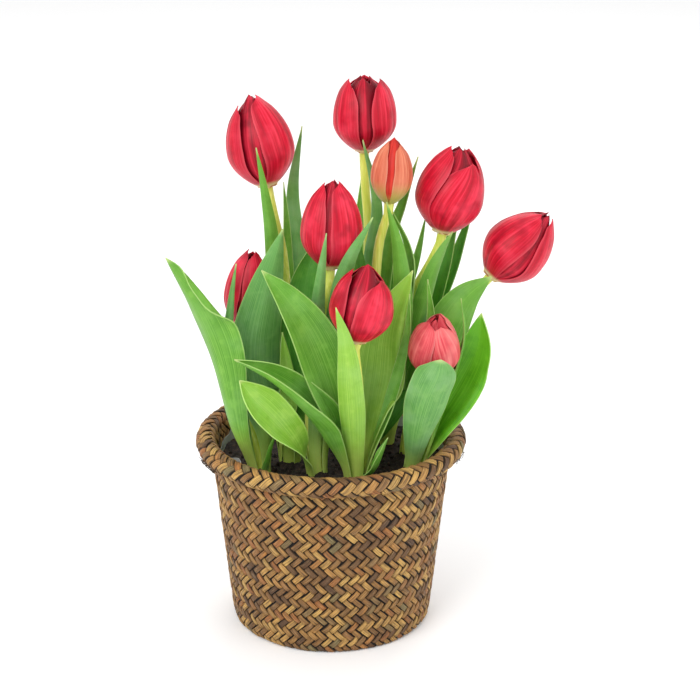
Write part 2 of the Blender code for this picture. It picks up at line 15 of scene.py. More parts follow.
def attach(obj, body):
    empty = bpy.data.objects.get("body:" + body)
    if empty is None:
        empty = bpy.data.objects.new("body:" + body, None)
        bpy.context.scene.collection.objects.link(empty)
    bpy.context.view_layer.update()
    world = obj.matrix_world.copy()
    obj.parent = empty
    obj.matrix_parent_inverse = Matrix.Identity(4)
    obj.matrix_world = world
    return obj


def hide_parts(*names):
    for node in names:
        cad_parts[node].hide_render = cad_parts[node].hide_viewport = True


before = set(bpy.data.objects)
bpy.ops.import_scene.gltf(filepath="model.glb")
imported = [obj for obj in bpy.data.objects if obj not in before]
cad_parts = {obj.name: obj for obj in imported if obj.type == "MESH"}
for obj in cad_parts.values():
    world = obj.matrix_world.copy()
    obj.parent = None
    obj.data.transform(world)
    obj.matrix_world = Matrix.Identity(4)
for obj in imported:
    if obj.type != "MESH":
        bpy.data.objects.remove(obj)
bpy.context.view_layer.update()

bpy.ops.object.select_all(action="DESELECT")
print("nodes in the frame:", len(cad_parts))

# %% [markdown]
# The camera comes first, because everything is seen through it. The photograph was taken from a little
# above the blooms with a long lens, so the basket's sides look nearly parallel and its mouth is a flat
# ellipse. The distance and tilt below make the mouth and the foot of the basket as flat as they are there.

# %% Camera
MM = 0.001
SENSOR_WIDTH = 36
CAMERA_PLACE = (0.0127, -1.2, 0.62)
CAMERA_TILT = 19.77  # degrees below level
CAMERA_LENS = 99.5  # mm, as the sensor's width is

bpy.ops.object.camera_add(location=CAMERA_PLACE, rotation=(math.radians(90 - CAMERA_TILT), 0, 0))
camera = bpy.context.object
camera.data.lens = CAMERA_LENS
camera.data.sensor_width = SENSOR_WIDTH
bpy.context.scene.camera = camera
print("camera at", CAMERA_PLACE)

# %% [markdown]
# Colours are picked as sRGB hex values, as a paint chart gives them, but the shader works in linear light.
# One function turns them. One more adds a node with its settings and links, so that a material reads as
# a short list of what the surface does.

# %% Helpers for materials
def linear(colour):
    """An sRGB hex colour as linear RGBA."""
    channels = [int(colour[i : i + 2], 16) / 255 for i in (0, 2, 4)]
    return (*[c / 12.92 if c <= 0.04045 else ((c + 0.055) / 1.055) ** 2.4 for c in channels], 1.0)


def new_material(name, **values):
    """A Principled BSDF with these socket values, its node tree and its shader."""
    material = bpy.data.materials.new(name)
    material.use_nodes = True
    tree = material.node_tree
    shader = tree.nodes["Principled BSDF"]
    for socket, value in values.items():
        shader.inputs[socket.replace("_", " ")].default_value = value
    return material, tree, shader


def add_node(tree, kind, settings=None, **links):
    """A node of this kind. Each link is a value, or another node's output socket.

    It is named by its socket, or by i and the socket's number where several have one name.
    """
    node = tree.nodes.new("ShaderNode" + kind)
    for name, value in (settings or {}).items():
        setattr(node, name, value)
    for name, value in links.items():
        by_number = name[0] == "i" and name[1:].isdigit()
        socket = node.inputs[int(name[1:]) if by_number else name]
        if isinstance(value, bpy.types.NodeSocket):
            tree.links.new(value, socket)
        else:
            socket.default_value = value
    return node


def ramp(tree, factor, stops):
    """A colour ramp from (position, hex colour) stops."""
    node = add_node(tree, "ValToRGB", Fac=factor)
    elements = node.color_ramp.elements
    while len(elements) < len(stops):
        elements.new(0.5)
    for element, (position, colour) in zip(elements, stops):
        element.position = position
        element.color = linear(colour)
    return node.outputs["Color"]


def level(tree, value, low, high, start=0.0, end=1.0):
    """A value mapped smoothly from low..high to start..end."""
    settings = {"interpolation_type": "SMOOTHSTEP"}
    node = add_node(tree, "MapRange", settings, i0=value, i1=low, i2=high, i3=start, i4=end)
    return node.outputs[0]


def blend_colours(tree, share, first, second, mode="MIX"):
    """Two colours, hex or socket, mixed by a share."""
    node = add_node(tree, "Mix", {"data_type": "RGBA", "blend_type": mode}, i0=share)
    for index, colour in ((6, first), (7, second)):
        if isinstance(colour, str):
            node.inputs[index].default_value = linear(colour)
        else:
            tree.links.new(colour, node.inputs[index])
    return node.outputs[2]


def stretched_noise(tree, coordinates, scale, grain, detail=3.0, roughness=0.55):
    """Noise stretched by a scale along each axis of some coordinates."""
    mapping = add_node(tree, "Mapping", Vector=coordinates, Scale=scale)
    node = add_node(
        tree, "TexNoise", Vector=mapping.outputs[0], Scale=grain, Detail=detail, Roughness=roughness
    )
    return node.outputs[0]


def bump(tree, shader, height, distance, strength=1.0):
    """Relief from a height socket, at a distance in metres."""
    node = add_node(tree, "Bump", Height=height, Distance=distance, Strength=strength)
    tree.links.new(node.outputs[0], shader.inputs["Normal"])


# %% [markdown]
# A tulip leaf is a waxy blade. Its veins run lengthwise and draw together at the tip, its rim is a thin
# pale line, and its foot is yellowish where it wraps the stem. The blade's own UV map runs across it and
# along it, so noise stretched along V gives veins that follow every twist. Wax gives it a soft, even sheen.
# Its greens run from yellowish on young leaves to bluish on waxy ones. One darker green is painted shade,
# for leaves in shade.

# %% Leaf material
def leaf_material(name, deep, body, light, bloom):
    """Waxy leaf: veins every millimetre or so, a pale rim, and a dusting of wax (its bloom)."""
    material, tree, shader = new_material(
        name, Roughness=0.46, IOR=1.45, Specular_IOR_Level=0.35, Subsurface_Weight=0.12
    )
    shader.inputs["Subsurface Radius"].default_value = (0.4, 1.0, 0.2)
    shader.inputs["Subsurface Scale"].default_value = 0.002
    uv = add_node(tree, "UVMap", {"uv_map": "UVMap"}).outputs[0]
    where = add_node(tree, "TexCoord").outputs["Object"]
    parts = add_node(tree, "SeparateXYZ", Vector=uv)
    across, along = parts.outputs[0], parts.outputs[1]
    veins = stretched_noise(tree, uv, (58, 1.1, 1), 1.0, 4.0)
    fine = stretched_noise(tree, uv, (170, 3.5, 1), 1.0, 2.0)
    patches = add_node(tree, "TexNoise", Vector=where, Scale=34.0, Detail=4.0).outputs[0]
    blotches = add_node(tree, "TexNoise", Vector=where, Scale=120.0, Detail=3.0).outputs[0]
    colour = ramp(tree, veins, [(0.26, deep), (0.50, body), (0.74, light)])
    colour = blend_colours(tree, level(tree, fine, 0.52, 0.72, 0.0, 0.22), colour, light)
    colour = blend_colours(tree, level(tree, patches, 0.42, 0.68, 0.0, 0.45), colour, bloom)
    colour = blend_colours(tree, level(tree, blotches, 0.52, 0.72, 0.0, 0.35), colour, light)
    colour = blend_colours(tree, level(tree, blotches, 0.46, 0.30, 0.0, 0.30), colour, deep)
    foot = level(tree, along, 0.04, 0.32, 0.78, 0.0)
    colour = blend_colours(tree, foot, colour, "C6D768")
    centred = add_node(tree, "Math", {"operation": "SUBTRACT"}, i0=across, i1=0.5).outputs[0]
    from_middle = add_node(tree, "Math", {"operation": "ABSOLUTE"}, i0=centred).outputs[0]
    midrib = level(tree, from_middle, 0.0, 0.022, 0.35, 0.0)
    colour = blend_colours(tree, midrib, colour, light)
    rim = level(tree, from_middle, 0.478, 0.497, 0.0, 0.40)
    colour = blend_colours(tree, rim, colour, "C3DC8C")
    tip = level(tree, along, 0.965, 1.0, 0.0, 0.5)
    colour = blend_colours(tree, tip, colour, "D9DE9A")
    tree.links.new(colour, shader.inputs["Base Color"])
    relief = add_node(tree, "Math", {"operation": "ADD"}, i0=veins, i1=fine).outputs[0]
    bump(tree, shader, relief, 0.0001, 0.6)
    return material


LEAF_GREENS = {
    "fresh": leaf_material("tulip_leaf_fresh", "43801C", "60992F", "86BA4C", "7AAC5A"),
    "sea": leaf_material("tulip_leaf_bluish", "427F38", "629A4C", "86B866", "8FB784"),
    "young": leaf_material("tulip_leaf_young", "6E9E2A", "86B83C", "AFD25E", "98C468"),
    "vivid": leaf_material("tulip_leaf_vivid", "3A8008", "56A012", "7CC030", "68AE28"),
    # painted shade: a darker green for leaves in shade
    "deep": leaf_material("tulip_leaf_shaded", "2F6F1A", "478A26", "6FAE40", "5C9C46"),
}

# %% [markdown]
# A petal is thin and satin. Its colour is not even: fine lengthwise streaks run from foot to rim, the
# middle is deeper and the very foot is cream. Light is painted in as well: a lighter rim and broad light
# patches are painted highlights, and dark patches and a darkening towards the margins are painted shade.
# The inner petals are darker, painted shade for the light that hardly reaches them; in the salmon bud they
# are also a redder orange of their own. One bud is still partly green, and another is pink.

# %% Petal and stem materials
def petal_material(name, deep, body, light, rim_highlight, foot_colour, foot_reach, shade):
    """Satin petal with lengthwise streaks, on its own UV map."""
    material, tree, shader = new_material(
        name, Roughness=0.40, IOR=1.42, Specular_IOR_Level=0.30, Subsurface_Weight=0.08
    )
    shader.inputs["Subsurface Radius"].default_value = (1.0, 0.2, 0.15)
    shader.inputs["Subsurface Scale"].default_value = 0.0015
    uv = add_node(tree, "UVMap", {"uv_map": "UVMap"}).outputs[0]
    where = add_node(tree, "TexCoord").outputs["Object"]
    parts = add_node(tree, "SeparateXYZ", Vector=uv)
    across, along = parts.outputs[0], parts.outputs[1]
    streaks = stretched_noise(tree, uv, (20, 0.9, 1), 1.0, 6.0, 0.6)
    threads = stretched_noise(tree, uv, (110, 1.6, 1), 1.0, 2.0)
    patches = add_node(tree, "TexNoise", Vector=where, Scale=48.0, Detail=3.0).outputs[0]
    shade_patches = add_node(tree, "TexNoise", Vector=where, Scale=75.0, Detail=2.0).outputs[0]
    colour = ramp(tree, streaks, [(0.30, deep), (0.50, body), (0.72, light)])
    colour = blend_colours(tree, level(tree, threads, 0.55, 0.75, 0.0, 0.18), colour, light)
    # Painted highlight and painted shade: broad light patches and dark patches at random places.
    colour = blend_colours(tree, level(tree, patches, 0.46, 0.68, 0.0, 0.55), colour, light)
    colour = blend_colours(tree, level(tree, shade_patches, 0.50, 0.28, 0.0, 0.55), colour, deep)
    centred = add_node(tree, "Math", {"operation": "SUBTRACT"}, i0=across, i1=0.5).outputs[0]
    from_middle = add_node(tree, "Math", {"operation": "ABSOLUTE"}, i0=centred).outputs[0]
    colour = blend_colours(tree, level(tree, from_middle, 0.0, 0.05, 0.30, 0.0), colour, deep)
    # Painted shade: darker towards the margins, where a petal lies under its neighbours; inner petals much
    # more so.
    colour = blend_colours(tree, level(tree, from_middle, *shade), colour, deep)
    # Painted highlight: a lighter rim along each margin.
    colour = blend_colours(tree, level(tree, from_middle, 0.44, 0.5, 0.0, 0.55), colour, rim_highlight)
    foot = level(tree, along, 0.03, foot_reach, 0.9, 0.0)
    colour = blend_colours(tree, foot, colour, foot_colour)
    tree.links.new(colour, shader.inputs["Base Color"])
    relief = add_node(tree, "Math", {"operation": "ADD"}, i0=streaks, i1=threads).outputs[0]
    bump(tree, shader, relief, 0.00014, 0.6)
    return material


# Painted shade at the margins: lit outer petals darken a little, shaded inner petals much more.
LIT = (0.26, 0.44, 0.0, 0.35)  # where a petal darkens towards its margins, and by how much
SHADED = (0.06, 0.26, 0.0, 0.75)
PETAL_COLOURS = {
    # kind: outer petals, inner petals (darker: painted shade)
    "red": (
        petal_material("tulip_petal_red", "86041A", "C60D2B", "E83C54", "E2505E", "E9D7A0", 0.09, LIT),
        petal_material(
            "tulip_petal_red_inner_shaded", "5C0312", "B00A27", "DC2C46", "D83A50", "C88A5A", 0.09, SHADED
        ),
    ),
    "salmon": (
        petal_material("tulip_petal_salmon", "B04C34", "CC6C50", "DF9472", "E09A80", "A8AE52", 0.46, LIT),
        petal_material(
            "tulip_petal_salmon_inner", "A01A16", "C8281E", "DC4A38", "DC5040", "B09A50", 0.2, SHADED
        ),
    ),
    "coral": (
        petal_material("tulip_petal_coral", "BC303C", "DC5058", "F08C86", "F09A96", "D8B870", 0.16, LIT),
        petal_material(
            "tulip_petal_coral_inner_shaded", "A01626", "CC3440", "E26468", "E87478", "B87050", 0.16, SHADED
        ),
    ),
}


def stem_material():
    """Smooth waxy stem: yellow green, with faint lengthwise streaks."""
    material, tree, shader = new_material("tulip_stem", Roughness=0.4, IOR=1.45, Subsurface_Weight=0.15)
    shader.inputs["Subsurface Radius"].default_value = (0.8, 1.0, 0.3)
    shader.inputs["Subsurface Scale"].default_value = 0.002
    where = add_node(tree, "TexCoord").outputs["Object"]
    streaks = stretched_noise(tree, where, (1, 1, 0.06), 900.0, 3.0)
    patches = stretched_noise(tree, where, (1, 1, 0.4), 60.0, 2.0)
    colour = ramp(tree, streaks, [(0.3, "C4D24A"), (0.55, "DAE268"), (0.8, "EEF098")])
    colour = blend_colours(tree, level(tree, patches, 0.45, 0.7, 0.0, 0.35), colour, "B4CC58")
    tree.links.new(colour, shader.inputs["Base Color"])
    bump(tree, shader, streaks, 0.0001, 0.5)
    return material


STEM_GREEN = stem_material()
print("plant materials:", len(LEAF_GREENS) + 2 * len(PETAL_COLOURS) + 1)

# %% [markdown]
# Everything green is placed by a few points in millimetres: where a bulb lies, where its stem leaves the
# soil, the points that the stem passes, and the foot and the top of its bloom. These are the plants' own
# driving dimensions, the same as the solids in the frame have.

# %% The plants
SOIL_TOP = 112.0
BULB_TIP = 83.35
STEM_BASE_RADIUS = 4.3
STEM_TOP_RADIUS = 2.8
NECK = 7.0  # mm of stem under a bloom that already run along the bloom's axis

PLANTS = {
    "left_tall": {
        "bulb": (-27, -2), "exit": (-28, -7), "stem": [(-27, 4, 187), (-31, 16, 246), (-36, 21, 270)],
        "foot": (-41, 26, 293), "top": (-52, 30, 353), "width": 44, "mouth": 0.24,
    },
    "back_tall": {
        "bulb": (6, 38), "exit": (9, 34), "stem": [(21, 37, 190), (25, 38, 253), (23, 39, 287)],
        "foot": (22, 40, 313), "top": (22, 40, 363), "width": 41, "mouth": 0.50,
    },
    "back_bud": {
        "bulb": (18, 4), "exit": (20, 4), "stem": [(27, 4, 194), (31, 4, 256)],
        "foot": (38, 5, 288), "top": (41, 5, 331), "width": 27, "mouth": 0.24,
    },
    "right_tall": {
        "bulb": (36, 28), "exit": (37, 22), "stem": [(43, 19, 182), (56, 16, 225), (64, 15, 241)],
        "foot": (73, 15, 265), "top": (84, 17, 323), "width": 45, "mouth": 0.32,
    },
    "right_nodding": {
        "bulb": (50, 4), "exit": (50, 2), "stem": [(59, 9, 157), (72, 14, 194), (89, 16, 222)],
        "foot": (105, 17, 234), "top": (143, 17, 277), "width": 43, "mouth": 0.22,
    },
    "centre": {
        "bulb": (-9, -30), "exit": (-8, -28), "stem": [(-13, -26, 146), (-9, -23, 200), (-3, -19, 233)],
        "foot": (0, -15, 250), "top": (2, -14, 308), "width": 40, "mouth": 0.28,
    },
    "left_low": {
        "bulb": (-44, -24), "exit": (-46, -26), "stem": [(-53, -20, 147), (-57, -13, 184)],
        "foot": (-58, -6, 208), "top": (-50, -4, 259), "width": 29, "mouth": 0.28,
    },
    "front": {
        "bulb": (18, -38), "exit": (17, -34), "stem": [(19, -40, 148), (18, -46, 181)],
        "foot": (17, -50, 212), "top": (24, -48, 263), "width": 40, "mouth": 0.25,
    },
    "right_bud": {
        "bulb": (47, -25), "exit": (53, -27), "stem": [(60, -26, 142), (64, -24, 163)],
        "foot": (66, -22, 180), "top": (68, -31, 224), "width": 34, "mouth": 0.25,
    },
}


def unit(vector):
    """The vector at length 1."""
    return vector / np.linalg.norm(vector)


def heading(bearing, rise=0.0):
    """The direction with this bearing and this rise above level, both in degrees."""
    b, r = math.radians(bearing), math.radians(rise)
    return np.array([math.cos(b) * math.cos(r), math.sin(b) * math.cos(r), math.sin(r)])


def smoothstep(x):
    """0 below 0, 1 above 1, and a smooth rise between them."""
    x = np.clip(x, 0.0, 1.0)
    return x * x * (3 - 2 * x)


def mix(a, b, share):
    """The value at a share of the way from a to b."""
    return a + (b - a) * share


FINE_STEPS = 24  # steps between two given points of a curve


def smooth_path(points, count, start=None):
    """Points evenly spaced along the smooth curve through the given ones. start is its first tangent."""
    points = [np.array(p, float) for p in points]
    tangents = [points[1] - points[0]]
    tangents += [(after - before) / 2 for before, after in zip(points, points[2:])]
    tangents.append(points[-1] - points[-2])
    if start is not None:
        tangents[0] = unit(np.array(start, float)) * np.linalg.norm(points[1] - points[0])
    fine = [points[0]]
    for a, b, ta, tb in zip(points, points[1:], tangents, tangents[1:]):
        for step in range(1, FINE_STEPS + 1):
            t = step / FINE_STEPS
            fine.append(
                (2 * t**3 - 3 * t**2 + 1) * a + (t**3 - 2 * t**2 + t) * ta
                + (3 * t**2 - 2 * t**3) * b + (t**3 - t**2) * tb
            )
    fine = np.array(fine)
    run = np.concatenate([[0], np.cumsum(np.linalg.norm(np.diff(fine, axis=0), axis=1))])
    wanted = np.linspace(0, run[-1], count)
    return np.stack([np.interp(wanted, run, fine[:, axis]) for axis in range(3)], axis=1)


def bloom_axis(plant):
    """A bloom's foot, the direction of its axis, and its height, in mm."""
    foot, top = (np.array(plant[key], float) for key in ("foot", "top"))
    return foot, unit(top - foot), np.linalg.norm(top - foot)


def stem_line(plant, count):
    """The stem's middle: from its bulb to the soil, then up in a smooth curve into the bloom's foot."""
    foot, axis, _ = bloom_axis(plant)
    start = np.array([*plant["bulb"], BULB_TIP], float)
    out = np.array([*plant["exit"], SOIL_TOP], float)
    above = smooth_path([out, *plant["stem"], foot - axis * NECK, foot], count, (0, 0, 1))
    return start, above


print("plants:", ", ".join(PLANTS))

# %% [markdown]
# Helpers for Blender itself. Operators act on what is selected, so each piece starts with nothing selected,
# and each modifier is applied before the piece is handed to the frame.

# %% Helpers for modelling
WELD = 0.00001  # metres within which two points are one


def add(operator, name, **options):
    """Runs an operator that adds an object, and names the result."""
    bpy.ops.object.select_all(action="DESELECT")
    operator(**options)
    obj = bpy.context.object
    obj.name = obj.data.name = name
    return obj


def activate(obj):
    """Selects this object alone, and makes it the active one."""
    bpy.ops.object.select_all(action="DESELECT")
    obj.select_set(True)
    bpy.context.view_layer.objects.active = obj


def apply_modifier(obj, kind, **settings):
    """Adds a modifier with these settings and applies it."""
    modifier = obj.modifiers.new(kind.lower(), kind)
    for key, value in settings.items():
        setattr(modifier, key, value)
    activate(obj)
    bpy.ops.object.modifier_apply(modifier=modifier.name)


def finish_piece(obj, material, nodes=(), sharp=60):
    """Gives a piece its material, smooth shading, its body and the nodes that it stands for."""
    obj.data.materials.clear()
    obj.data.materials.append(material)
    activate(obj)
    bpy.ops.object.transform_apply(location=True, rotation=True, scale=True)
    bpy.ops.object.shade_smooth_by_angle(angle=math.radians(sharp))
    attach(obj, "root")
    if nodes:
        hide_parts(*nodes)
    return obj


def place_grid(obj, surface):
    """Moves each vertex of a unit grid to surface(u, v), in mm, u and v running from 0 to 1."""
    flat = np.empty(len(obj.data.vertices) * 3)
    obj.data.vertices.foreach_get("co", flat)
    flat = flat.reshape(-1, 3)
    points = surface(flat[:, 0] + 0.5, flat[:, 1] + 0.5) * MM
    obj.data.vertices.foreach_set("co", points.astype(np.float32).ravel())
    obj.data.update()


def face_outwards(obj):
    """Turns the faces of a closed mesh outwards."""
    activate(obj)
    bpy.ops.object.mode_set(mode="EDIT")
    bpy.ops.mesh.select_all(action="SELECT")
    bpy.ops.mesh.normals_make_consistent(inside=False)
    bpy.ops.object.mode_set(mode="OBJECT")


# %% [markdown]
# Stems are drawn as curves with a round bevel, a little thinner towards the bloom, and turned to meshes.
# Each one runs down through the soil to its bulb, as it does on the plant.

# %% Stems
STEM_POINTS = 22
STEM_BEVEL = 6
FLARE = 0.10  # by how much a stem widens where it meets its bloom, as a share of its base
FLARE_START = 0.93  # share of the stem's length


def make_stem(name, plant):
    """One stem, from its bulb through the soil to its bloom."""
    start, above = stem_line(plant, STEM_POINTS)
    line = np.vstack([[start], above])
    obj = add(bpy.ops.curve.primitive_nurbs_path_add, "stalk_" + name)
    curve = obj.data
    curve.splines.clear()
    spline = curve.splines.new("POLY")
    spline.points.add(len(line) - 1)
    for i, (control, point) in enumerate(zip(spline.points, line)):
        share = i / (len(line) - 1)
        flare = FLARE * smoothstep((share - FLARE_START) / (1 - FLARE_START))
        control.co = (*(point * MM), 1.0)
        control.radius = mix(1.0, STEM_TOP_RADIUS / STEM_BASE_RADIUS, share) + flare
    curve.bevel_depth = STEM_BASE_RADIUS * MM
    curve.bevel_resolution = STEM_BEVEL
    curve.use_fill_caps = True
    activate(obj)
    bpy.ops.object.convert(target="MESH")
    obj = bpy.context.object
    apply_modifier(obj, "WELD", merge_threshold=WELD)
    face_outwards(obj)
    return finish_piece(obj, STEM_GREEN, ["stem_" + name])


for plant_name, plant in PLANTS.items():
    make_stem(plant_name, plant)
print("stems:", len(PLANTS))

# %% [markdown]
# Leaves: one row each, as the solids have them. A leaf clasps its stem at a bearing (0 is +X, 90 is +Y),
# in a ring counted outwards from the stem, follows a few points of its midrib to its tip, turns its inner
# face to a bearing and a rise, and is hollowed across by so many degrees. A fuller leaf keeps its width
# longer. Points and widths are in millimetres.

# %% The leaves
LEAVES = {
    "left_low_outer": {
        "plant": "left_low", "side": 225, "ring": 1,
        "rib": [(-62, -43, 151), (-72, -46, 199), (-84, -49, 233)],
        "tip": (-102, -48, 267), "width": 42, "face": (60, 40), "hollow": 80, "fullness": 1.9,
        "widest": 0.7,
    },
    "left_low_front": {
        "plant": "left_low", "side": 215, "ring": 0,
        "rib": [(-57, -36, 150), (-65, -37, 200), (-63, -36, 232)],
        "tip": (-59, -35, 259), "width": 11, "face": (90, 10), "hollow": 120, "fullness": 1.6,
    },
    "left_low_broad": {
        "plant": "left_low", "side": 335, "ring": 1,
        "rib": [(-40, -26, 149), (-47, -26, 194), (-41, -23, 234)],
        "tip": (-30, -18, 277), "width": 37, "face": (100, 10), "hollow": 50, "fullness": 1.9,
    },
    "front_back_left": {
        "plant": "front", "side": 150, "ring": 1,
        "rib": [(4, -36, 160), (-10, -43, 208), (-26, -42, 236)],
        "tip": (-43, -36, 255), "width": 38, "face": (290, 20), "hollow": 60, "fullness": 2.2,
    },
    "front_low_left": {
        "plant": "front", "side": 205, "ring": 2,
        "rib": [(-5, -45, 146), (-21, -50, 171), (-38, -55, 189)],
        "tip": (-60, -58, 203), "width": 40, "face": (300, 50), "hollow": 120, "fullness": 2.0,
    },
    "front_narrow": {
        "plant": "front", "side": 262, "ring": 1,
        "rib": [(15, -50, 145), (13, -60, 183), (10, -67, 216)],
        "tip": (4, -71, 242), "width": 18, "face": (90, 10), "hollow": 50, "fullness": 2.0,
    },
    "front_right": {
        "plant": "front", "side": 30, "ring": 0,
        "rib": [(26, -24, 138), (33, -16, 174), (37, -14, 210)],
        "tip": (53, -14, 248), "width": 38, "face": (250, 10), "hollow": 60, "fullness": 1.8,
    },
    "front_sprout": {
        "plant": "front", "side": 318, "ring": 2, "rib": [(31, -48, 127)],
        "tip": (37, -48, 146), "width": 14, "face": (180, 30), "hollow": 110, "fullness": 2.2,
    },
    "centre_low": {
        "plant": "centre", "side": 215, "ring": 1,
        "rib": [(-20, -46, 136), (-34, -53, 159), (-48, -57, 176)],
        "tip": (-57, -58, 189), "width": 31, "face": (290, 30), "hollow": 80, "fullness": 2.0,
        "widest": 0.74,
    },
    "centre_front": {
        "plant": "centre", "side": 265, "ring": 0,
        "rib": [(-9, -35, 173), (-8, -33, 223), (-6, -36, 248)],
        "tip": (-2, -42, 281), "width": 12, "face": (90, 10), "hollow": 60, "fullness": 2.0,
    },
    "centre_right": {
        "plant": "centre", "side": 350, "ring": 1,
        "rib": [(4, -25, 170), (4, -27, 211), (10, -31, 253)],
        "tip": (27, -30, 288), "width": 17, "face": (95, 0), "hollow": 50, "fullness": 2.0,
    },
    "centre_back": {
        "plant": "centre", "side": 95, "ring": 1,
        "rib": [(-13, -13, 159), (-19, -4, 199), (-17, 2, 232)],
        "tip": (-8, 8, 264), "width": 30, "face": (262, 10), "hollow": 50, "fullness": 2.4,
    },
    "left_tall_low": {
        "plant": "left_tall", "side": 278, "ring": 1, "rib": [(-26, -16, 140), (-28, -19, 177)],
        "tip": (-31, -20, 208), "width": 13, "face": (270, 10), "hollow": 60, "fullness": 2.2,
    },
    "left_tall_front": {
        "plant": "left_tall", "side": 180, "ring": 1,
        "rib": [(-35, -2, 183), (-38, 6, 256), (-42, 4, 293)],
        "tip": (-47, 1, 325), "width": 13, "face": (80, 0), "hollow": 60, "fullness": 2.0,
    },
    "left_tall_right": {
        "plant": "left_tall", "side": 60, "ring": 1,
        "rib": [(-18, 16, 184), (-22, 32, 248), (-25, 47, 285)],
        "tip": (-19, 53, 327), "width": 15, "face": (100, 0), "hollow": 60, "fullness": 2.0,
    },
    "back_tall_right": {
        "plant": "back_tall", "side": 345, "ring": 1,
        "rib": [(24, 29, 194), (26, 27, 240), (30, 26, 280)],
        "tip": (21, 22, 325), "width": 13, "face": (80, 0), "hollow": 90, "fullness": 2.0,
    },
    "back_tall_behind": {
        "plant": "back_tall", "side": 130, "ring": 1, "rib": [(12, 48, 187), (18, 50, 249)],
        "tip": (20, 54, 290), "width": 14, "face": (270, 0), "hollow": 60, "fullness": 2.0,
    },
    "back_tall_front": {
        "plant": "back_tall", "side": 245, "ring": 0, "rib": [(12, 16, 189), (19, 11, 232)],
        "tip": (19, 11, 261), "width": 17, "face": (90, 0), "hollow": 60, "fullness": 2.4,
    },
    "back_tall_low": {
        "plant": "back_tall", "side": 30, "ring": 2, "rib": [(37, 41, 180), (42, 45, 222)],
        "tip": (45, 50, 256), "width": 20, "face": (250, 0), "hollow": 60, "fullness": 2.0,
    },
    "back_bud_front": {
        "plant": "back_bud", "side": 325, "ring": 1,
        "rib": [(41, -6, 171), (47, -9, 219), (44, -7, 259)],
        "tip": (36, -5, 291), "width": 15, "face": (90, 0), "hollow": 50, "fullness": 2.2,
    },
    "back_bud_right": {
        "plant": "back_bud", "side": 15, "ring": 0, "rib": [(46, 6, 186), (53, 6, 236), (51, 7, 258)],
        "tip": (39, 10, 283), "width": 13, "face": (220, 0), "hollow": 60, "fullness": 2.2,
    },
    "back_bud_behind": {
        "plant": "back_bud", "side": 110, "ring": 0,
        "rib": [(31, 17, 197), (40, 20, 259), (47, 22, 282)],
        "tip": (57, 26, 313), "width": 13, "face": (250, 0), "hollow": 80, "fullness": 2.0,
    },
    "back_bud_low": {
        "plant": "back_bud", "side": 280, "ring": 2, "rib": [(27, -9, 134), (40, -12, 152)],
        "tip": (57, -12, 167), "width": 20, "face": (100, -30), "hollow": 40, "fullness": 2.4,
    },
    "right_tall_left": {
        "plant": "right_tall", "side": 140, "ring": 0,
        "rib": [(39, 28, 182), (50, 26, 223), (57, 26, 247)],
        "tip": (63, 29, 273), "width": 11, "face": (290, 0), "hollow": 60, "fullness": 2.0,
    },
    "right_tall_front": {
        "plant": "right_tall", "side": 275, "ring": 1,
        "rib": [(51, 10, 178), (64, 7, 231), (72, 5, 254)],
        "tip": (79, 3, 269), "width": 15, "face": (110, 0), "hollow": 60, "fullness": 3.0,
    },
    "right_tall_right": {
        "plant": "right_tall", "side": 5, "ring": 0,
        "rib": [(62, 26, 186), (76, 32, 237), (81, 36, 259)],
        "tip": (87, 39, 280), "width": 14, "face": (240, 0), "hollow": 60, "fullness": 2.4,
    },
    "right_tall_behind": {
        "plant": "right_tall", "side": 75, "ring": 1,
        "rib": [(62, 40, 183), (80, 45, 227), (88, 48, 251)],
        "tip": (96, 52, 276), "width": 13, "face": (250, 0), "hollow": 60, "fullness": 2.0,
    },
    "right_nodding_broad": {
        "plant": "right_nodding", "side": 300, "ring": 1,
        "rib": [(62, -3, 152), (74, 0, 196), (87, 2, 222)],
        "tip": (105, 5, 238), "width": 33, "face": (105, -20), "hollow": 50, "fullness": 3.0,
    },
    "right_bud_front": {
        "plant": "right_bud", "side": 268, "ring": 0,
        "rib": [(56, -44, 144), (62, -54, 174), (68, -58, 192)],
        "tip": (70, -58, 203), "width": 31, "face": (90, 10), "hollow": 70, "fullness": 5.0,
        "widest": 0.7,
    },
    "right_bud_back": {
        "plant": "right_bud", "side": 30, "ring": 1,
        "rib": [(69, -20, 142), (86, -15, 172), (96, -13, 195)],
        "tip": (98, -11, 218), "width": 36, "face": (245, 10), "hollow": 70, "fullness": 2.8,
    },
}

# %% [markdown]
# Some small leaves have no solid of their own: short sprouts, and narrow blades half hidden among the
# others. They have the same kind of row. LOOKS says what marks a leaf: which green it is, by how many
# degrees it is creased at its midrib, by how many millimetres its margins wave, and how a margin folds:
# which side, from what share of the half width, by how many degrees, and over which stretch of its length.

